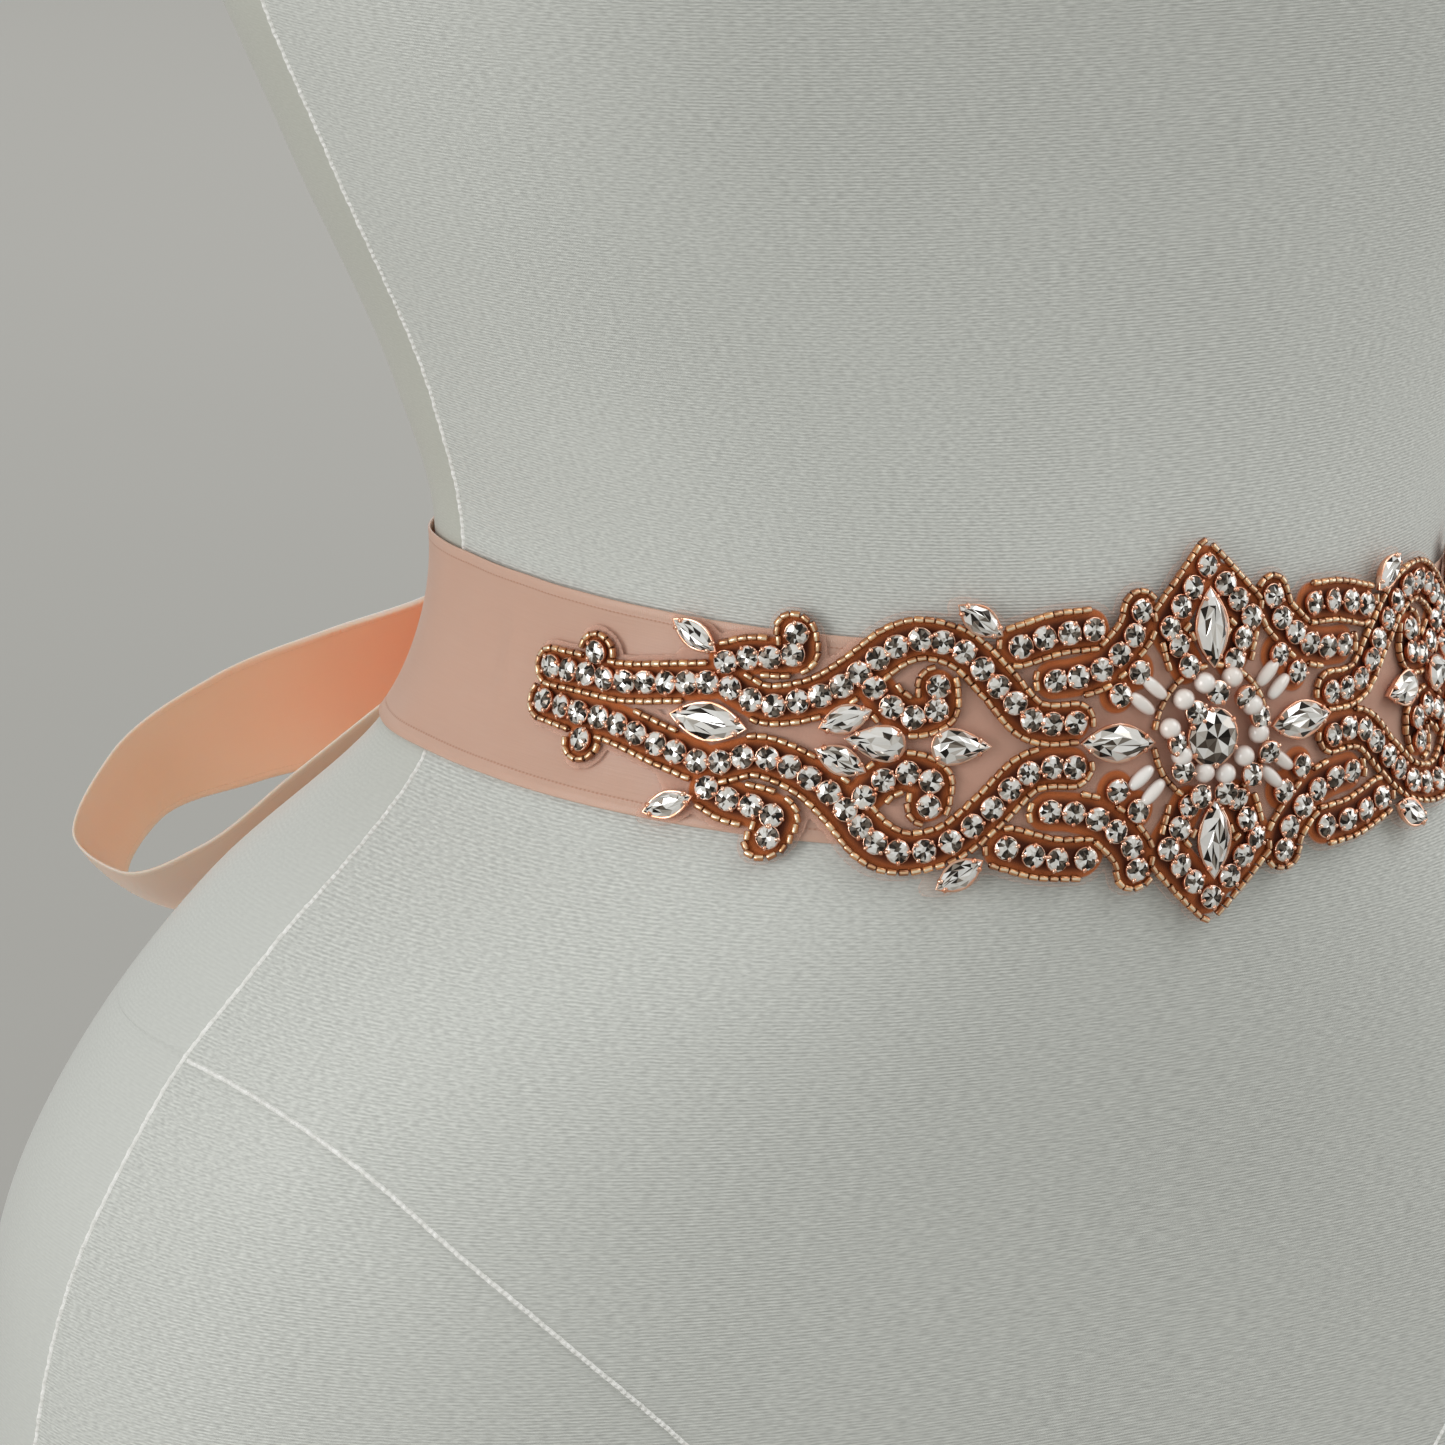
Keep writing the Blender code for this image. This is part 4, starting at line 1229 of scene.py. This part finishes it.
def long_cup(kind, length, width):
    outline = outline_of(kind, length, width, 32)
    rings = [
        np.array([[0.0, 0.0, -1.6]]),
        ring_at(outline, -1.6, 0.86, 0.80),
        ring_at(outline, -0.7, 1, 1, 0.20),
        ring_at(outline, -0.02, 1, 1, 0.34),
        ring_at(outline, 0.10, 1, 1, 0.22),
        ring_at(outline, 0.06, 1, 1, -0.10),
        np.array([[0.0, 0.0, -0.3]]),
    ]
    claws = []
    fine = outline_of(kind, length, width, 64)
    for spot in CLAW_SPOTS[kind]:
        (x, y), tangent = fine[spot], fine[spot + 1] - fine[spot - 1]
        claws.append(claw(x * 0.97, y * 0.97, math.atan2(-tangent[0], tangent[1]), LONG_CLAW))
    return joined(loft(rings), *claws)


groups = {}
for x, y, length, width, turn, kind in LARGE_STONES:
    for sx, sy in MIRRORS:
        if (x == 0 and sx < 0) or (y == 0 and sy < 0):
            continue
        direction = math.radians(turn)
        direction = math.atan2(sy * math.sin(direction), sx * math.cos(direction))
        groups.setdefault((kind, length, width), []).append((sx * x, sy * y, direction))
for number, ((kind, length, width), found) in enumerate(groups.items(), 1):
    found = np.array(found)
    turns = found[:, 2] + draws.normal(0, 0.03, len(found))
    frames = set_frames(found[:, :2], LONG_GIRDLE_OUT, turns, 0.05)
    stone = long_stone(kind, length, width)
    painted_face_tones = painted_facet_reflections(stone, len(found), LONG_WEIGHTS)
    sewn_on.append(lay(f"{kind}_stones_{number}", stone, frames, foiled_glass, False, painted_face_tones))
    sewn_on.append(lay(f"{kind}_cups_{number}", long_cup(kind, length, width), frames, rose_gold))


# Middle of the ornament: an 11 mm round stone in its cup, with small round stones sewn about it over the
# edges of the pearls. They lie loosely, each a little tipped.
CENTRE_STONE = (-1.0, -0.5)
MIDDLE_GIRDLE_OUT = 5.0
CENTRE_CLAW = (0.75, 0.55, 0.42)
CENTRE_WEIGHTS = (0.20, 0.34, 0.24, 0.22)
OVER_PLACES = (
    (0.1, 7.8), (6.6, 6.2), (10.0, 2.2), (11.6, -4.9), (7.7, -8.6),
    (-3.6, -11.3), (1.7, -11.3), (-7.6, -6.1), (-8.7, -0.9), (-4.7, 4.5),
)


def centre_stone():
    profile = [(0, -1.0), (5.5, 0.0), (4.7, 0.75), (2.9, 1.45), (0, 1.25)]
    return turned(profile, 10, twist=0.5)


def centre_cup():
    profile = (
        (0, -2.2), (4.7, -2.2), (5.45, -1.1), (5.72, -0.25), (5.64, -0.02), (5.3, -0.12), (0, -0.4),
    )
    return clawed_cup(profile, 40, 5.4, np.arange(6) * math.pi / 3 + 0.3, CENTRE_CLAW)


frames = set_frames([CENTRE_STONE], MIDDLE_GIRDLE_OUT, 0.3, 0.0)
stone = centre_stone()
painted_face_tones = painted_facet_reflections(stone, 1, CENTRE_WEIGHTS)
sewn_on.append(lay("centre_stone", stone, frames, foiled_glass, False, painted_face_tones))
sewn_on.append(lay("centre_cup", centre_cup(), frames, rose_gold))
count = len(OVER_PLACES)
heights_out = MIDDLE_GIRDLE_OUT + draws.normal(0, 0.15, count)
frames = set_frames(OVER_PLACES, heights_out, draws.uniform(0, math.tau, count), 0.16)
stone = round_stone()
painted_face_tones = painted_facet_reflections(stone, count, ROUND_WEIGHTS, sided=True)
sewn_on.append(lay("middle_stones", stone, frames, foiled_glass, False, painted_face_tones))
sewn_on.append(lay("middle_cups", round_cup(), frames, rose_gold))


# Pearls: round ones about the middle stone, and pairs of rice pearls that point out from it between lone
# stones. They are coated ivory beads, sewn to the net through a hole from end to end.
PEARL_OUT = 4.05
PEARL_RADIUS = 2.1
RICE_OUT = 3.35
RICE_RADIUS = 1.38
RICE_HALF_LENGTH = 3.1
RICE_POWER = 0.62
PEARL_PLACES = (
    (-2.2, 9.7), (-6.9, 7.1), (-9.9, 1.9), (4.1, 10.1), (9.9, -1.0),
    (6.4, -5.0), (2.1, -7.8), (-2.6, -7.0), (-7.4, -3.4), (8.6, 4.4),
)
# along, up, direction in degrees of one quarter's rice pearls
RICE_PEARLS = ((15.5, 6.9, 33.0), (12.9, 9.8, 41.0))
IVORY = (1.0, 0.97, 0.94, 1)
IVORY_SHADE = (0.95, 0.87, 0.81, 1)
PEARL_RIM_PAINTED_SHADE = (0.52, 0.34, 0.27, 1)
pearl, tree, shader = new_finish(
    "ivory pearl",
    Roughness=0.16,
    Coat_Weight=1.0,
    Coat_Roughness=0.04,
    Sheen_Weight=0.2,
    Sheen_Tint=(1.0, 0.86, 0.80, 1),
)
spot = node(tree, "ShaderNodeTexCoord").outputs["Object"]
tone = effect(tree, mottle, Place=spot, Colour=IVORY, Second=IVORY_SHADE, Scale=160.0, Amount=0.8)
# painted shade: each pearl is painted darker and pinker towards its outline as seen
facing = node(tree, "ShaderNodeLayerWeight", {0: 0.5}).outputs[1]
painted_rim_shade = blend_colours(tree, between(tree, facing, 0.12, 0.85, 0.0, 0.85), tone["Colour"], PEARL_RIM_PAINTED_SHADE)
tree.links.new(painted_rim_shade, shader.inputs["Base Color"])


def pearl_profile(radius, half_length, power=1.0):
    """A pearl from tip to tip, as radius and height."""
    turns = np.linspace(-math.pi / 2, math.pi / 2, 13)[1:-1]
    sides = [(radius * math.cos(turn) ** power, half_length * math.sin(turn)) for turn in turns]
    return [(0, -half_length), *sides, (0, half_length)]


frames = set_frames(PEARL_PLACES, PEARL_OUT, draws.uniform(0, 6, len(PEARL_PLACES)), 0.05)
sewn_on.append(lay("round_pearls", turned(pearl_profile(PEARL_RADIUS, PEARL_RADIUS), 20), frames, pearl))
points, faces = turned(pearl_profile(RICE_RADIUS, RICE_HALF_LENGTH, RICE_POWER), 16)
rice = points[:, [2, 0, 1]], faces
places, turns = [], []
for x, y, degrees in RICE_PEARLS:
    direction = math.radians(degrees)
    for sx, sy in MIRRORS:
        places.append((sx * x, sy * y))
        turns.append(math.atan2(sy * math.sin(direction), sx * math.cos(direction)))
frames = set_frames(places, RICE_OUT, np.array(turns) + draws.normal(0, 0.05, len(turns)), 0.04)
sewn_on.append(lay("rice_pearls", rice, frames, pearl))


# Seed beads: short glass tubes with a gilt lining, strung on thread and couched down each side of every row
# of stones, turning round the ends of the scrolls, round the middle and along the diamond's edge.
BEAD_PITCH = 1.93
BEAD_OUT = 2.95
STRING_GAP = 3.62
STRING_END = 138.0
LARGE_STONE_CLEAR = 0.55
ROUND_STONE_CLEAR = 2.85
BEAD_CLEAR = 1.62
RING_RADIUS = 12.7
DIAMOND_EDGE = ((0.0, 35.7), (1.2, 35.0), (11.9, 23.9), (12.1, 22.9), (9.2, 12.4))
BEAD_PROFILE = ((0.26, -0.84), (0.56, -0.91), (0.68, -0.76), (0.68, 0.76), (0.56, 0.91), (0.26, 0.84))
seed_glass, tree, shader = new_finish("gilt lined glass", Metallic=0.55, Coat_Weight=1.0, Coat_Roughness=0.04)
facet = kept_value(tree, "facet", "Fac")
painted_bead_tone = tone_colours(
    tree,
    facet,
    (
        (0.0, (0.11, 0.030, 0.008, 1)),
        (0.35, (0.46, 0.155, 0.042, 1)),
        (0.65, (0.86, 0.43, 0.170, 1)),
        (1.0, (1.0, 0.81, 0.56, 1)),
    ),
)
tree.links.new(painted_bead_tone, shader.inputs["Base Color"])
tree.links.new(between(tree, facet, 0.0, 1.0, 0.30, 0.18), shader.inputs["Roughness"])

points, faces = turned(BEAD_PROFILE, 10, closed=True)
points = points[:, [2, 0, 1]]
seed_bead = points, faces
first, second, third = (points[faces[:, k]] for k in range(3))
facing = unit(np.cross(second - first, third - first))
# painted shade on a bead's ends, and a painted highlight along its top
painted_top_highlight_and_end_shade = np.where(np.abs(facing[:, 0]) > 0.9, -0.45, 0.70 * np.clip(facing[:, 2], 0, 1) ** 7 - 0.14)
strings = []
for (_, _, (first, last)), line in zip(ROWS, row_lines):
    if len(line) < 3:
        line = np.array([line[0], line[0] + (0.0, 0.01)])
    heading = unit(np.gradient(line, axis=0))
    left = np.stack([-heading[:, 1], heading[:, 0]], 1)
    sides = [line + left * STRING_GAP, line - left * STRING_GAP]
    turn = np.linspace(0, math.pi, 24)[1:-1, None]
    round_last = line[-1] + STRING_GAP * (left[-1] * np.cos(turn) + heading[-1] * np.sin(turn))
    round_first = line[0] + STRING_GAP * (-left[0] * np.cos(turn) - heading[0] * np.sin(turn))
    if first and last:
        strings.append(np.concatenate([sides[0], round_last, sides[1][::-1], round_first, sides[0][:1]]))
    elif last:
        strings.append(np.concatenate([sides[0], round_last, sides[1][::-1]]))
    elif first:
        strings.append(np.concatenate([sides[1][::-1], round_first, sides[0]]))
    else:
        strings += sides
turn = np.linspace(0, math.pi / 2, 40)
quarter_ring = RING_RADIUS * np.stack([np.cos(turn), np.sin(turn)], 1)
bead_spots, bead_turns = np.zeros((0, 2)), np.zeros(0)
for string in [np.array(DIAMOND_EDGE), quarter_ring, *strings]:
    at = np.arange(BEAD_PITCH * 0.35, walked_along(string)[-1], BEAD_PITCH)
    spots, ahead = at_lengths(string, at), at_lengths(string, at + 0.3) - at_lengths(string, at - 0.3)
    for signs in MIRRORS:
        placed, direction = mirrored(spots, signs), mirrored(ahead, signs)
        clear = (stone_distance(placed) > LARGE_STONE_CLEAR) & (np.abs(placed[:, 0]) < STRING_END)
        from_stones = np.linalg.norm(placed[:, None] - row_places[None], axis=-1).min(1)
        clear &= from_stones > ROUND_STONE_CLEAR
        for spot, way, fits in zip(placed, direction, clear):
            if not fits:
                continue
            if len(bead_spots) and np.linalg.norm(bead_spots - spot, axis=1).min() < BEAD_CLEAR:
                continue
            bead_spots = np.concatenate([bead_spots, spot[None]])
            bead_turns = np.append(bead_turns, math.atan2(way[1], way[0]))
count = len(bead_spots)
frames = set_frames(
    bead_spots,
    BEAD_OUT + draws.normal(0, 0.05, count),
    bead_turns + draws.normal(0, 0.05, count),
    0.05,
    1 + draws.normal(0, 0.025, count),
)
painted_tones = np.clip(draws.normal(0.42, 0.11, (count, 1)) + painted_top_highlight_and_end_shade, 0, 1)
sewn_on.append(lay("seed_beads", seed_bead, frames, seed_glass, True, painted_tones))


# Studio: a wide pale floor in even pale light from all round, with large soft lights low on the left and
# the right and high in front and behind.
FLOOR_RADIUS = 9.0
FLOOR = (0.432, 0.428, 0.408, 1)
FLOOR_SHADE = (0.416, 0.411, 0.390, 1)
AIR = (0.60, 0.60, 0.58, 1)
AIR_STRENGTH = 0.86
AIMED_AT = (0.0, 0.0, 0.32)
# name, place, width, height, watts
LIGHTS = (
    ("soft light left", (-2.16, -0.42, 0.40), 1.4, 1.6, 26.0),
    ("soft light right", (2.05, -0.75, 0.63), 1.4, 1.4, 7.0),
    ("soft light above", (1.09, -1.09, 2.16), 1.5, 1.5, 14.0),
    ("soft light behind", (1.25, 2.20, 1.55), 1.5, 1.2, 17.0),
)
floor_finish, tree, shader = new_finish("pale floor", Roughness=0.85, Specular_IOR_Level=0.2)
spot = node(tree, "ShaderNodeTexCoord").outputs["Object"]
tone = effect(tree, mottle, Place=spot, Colour=FLOOR, Second=FLOOR_SHADE, Scale=1.2, Amount=0.6)
tree.links.new(tone["Colour"], shader.inputs["Base Color"])
points, faces = turned([(FLOOR_RADIUS, 0.0), (0, 0.0)], 96)
floor_mesh = bpy.data.meshes.new("floor")
floor_mesh.from_pydata(points.tolist(), [], faces.tolist())
floor_mesh.materials.append(floor_finish)
floor = bpy.data.objects.new("floor", floor_mesh)
bpy.context.scene.collection.objects.link(floor)


def stood_at(at, right, backward):
    """A placing for a light or the camera, which looks away from backward."""
    turn = np.column_stack([right, np.cross(backward, right), backward])
    return Matrix.Translation(at) @ Matrix(turn.tolist()).to_4x4()


for name, at, wide, high, watts in LIGHTS:
    lamp = bpy.data.lights.new(name, "AREA")
    lamp.shape, lamp.size, lamp.size_y, lamp.energy = "RECTANGLE", wide, high, watts
    light = bpy.data.objects.new(name, lamp)
    bpy.context.scene.collection.objects.link(light)
    back = unit(np.array(at) - AIMED_AT)
    light.matrix_world = stood_at(at, unit(np.cross((0, 0, 1.0), back)), back)
    light.visible_camera = False
world = bpy.data.worlds.new("studio air")
world.use_nodes = True
bpy.context.scene.world = world
background = world.node_tree.nodes["Background"]
background.inputs["Color"].default_value = AIR
background.inputs["Strength"].default_value = AIR_STRENGTH

# Camera: at the photo's place, to the left of the front and above the waist, looking a little down.
CAMERA_AT = np.array([-0.8214, -1.2485, 0.6823])
CAMERA_RIGHT = np.array([0.8505, -0.5245, 0.0404])
CAMERA_UP = np.array([0.1065, 0.2470, 0.9632])
CAMERA_LENS = 191.76
lens = bpy.data.cameras.new("camera")
lens.lens, lens.sensor_width, lens.clip_start, lens.clip_end = CAMERA_LENS, 36.0, 0.05, 60.0
camera = bpy.data.objects.new("camera", lens)
bpy.context.scene.collection.objects.link(camera)
right = unit(CAMERA_RIGHT)
camera.matrix_world = stood_at(CAMERA_AT, right, unit(np.cross(right, CAMERA_UP)))
bpy.context.scene.camera = camera
bpy.context.scene.view_settings.view_transform = "Standard"
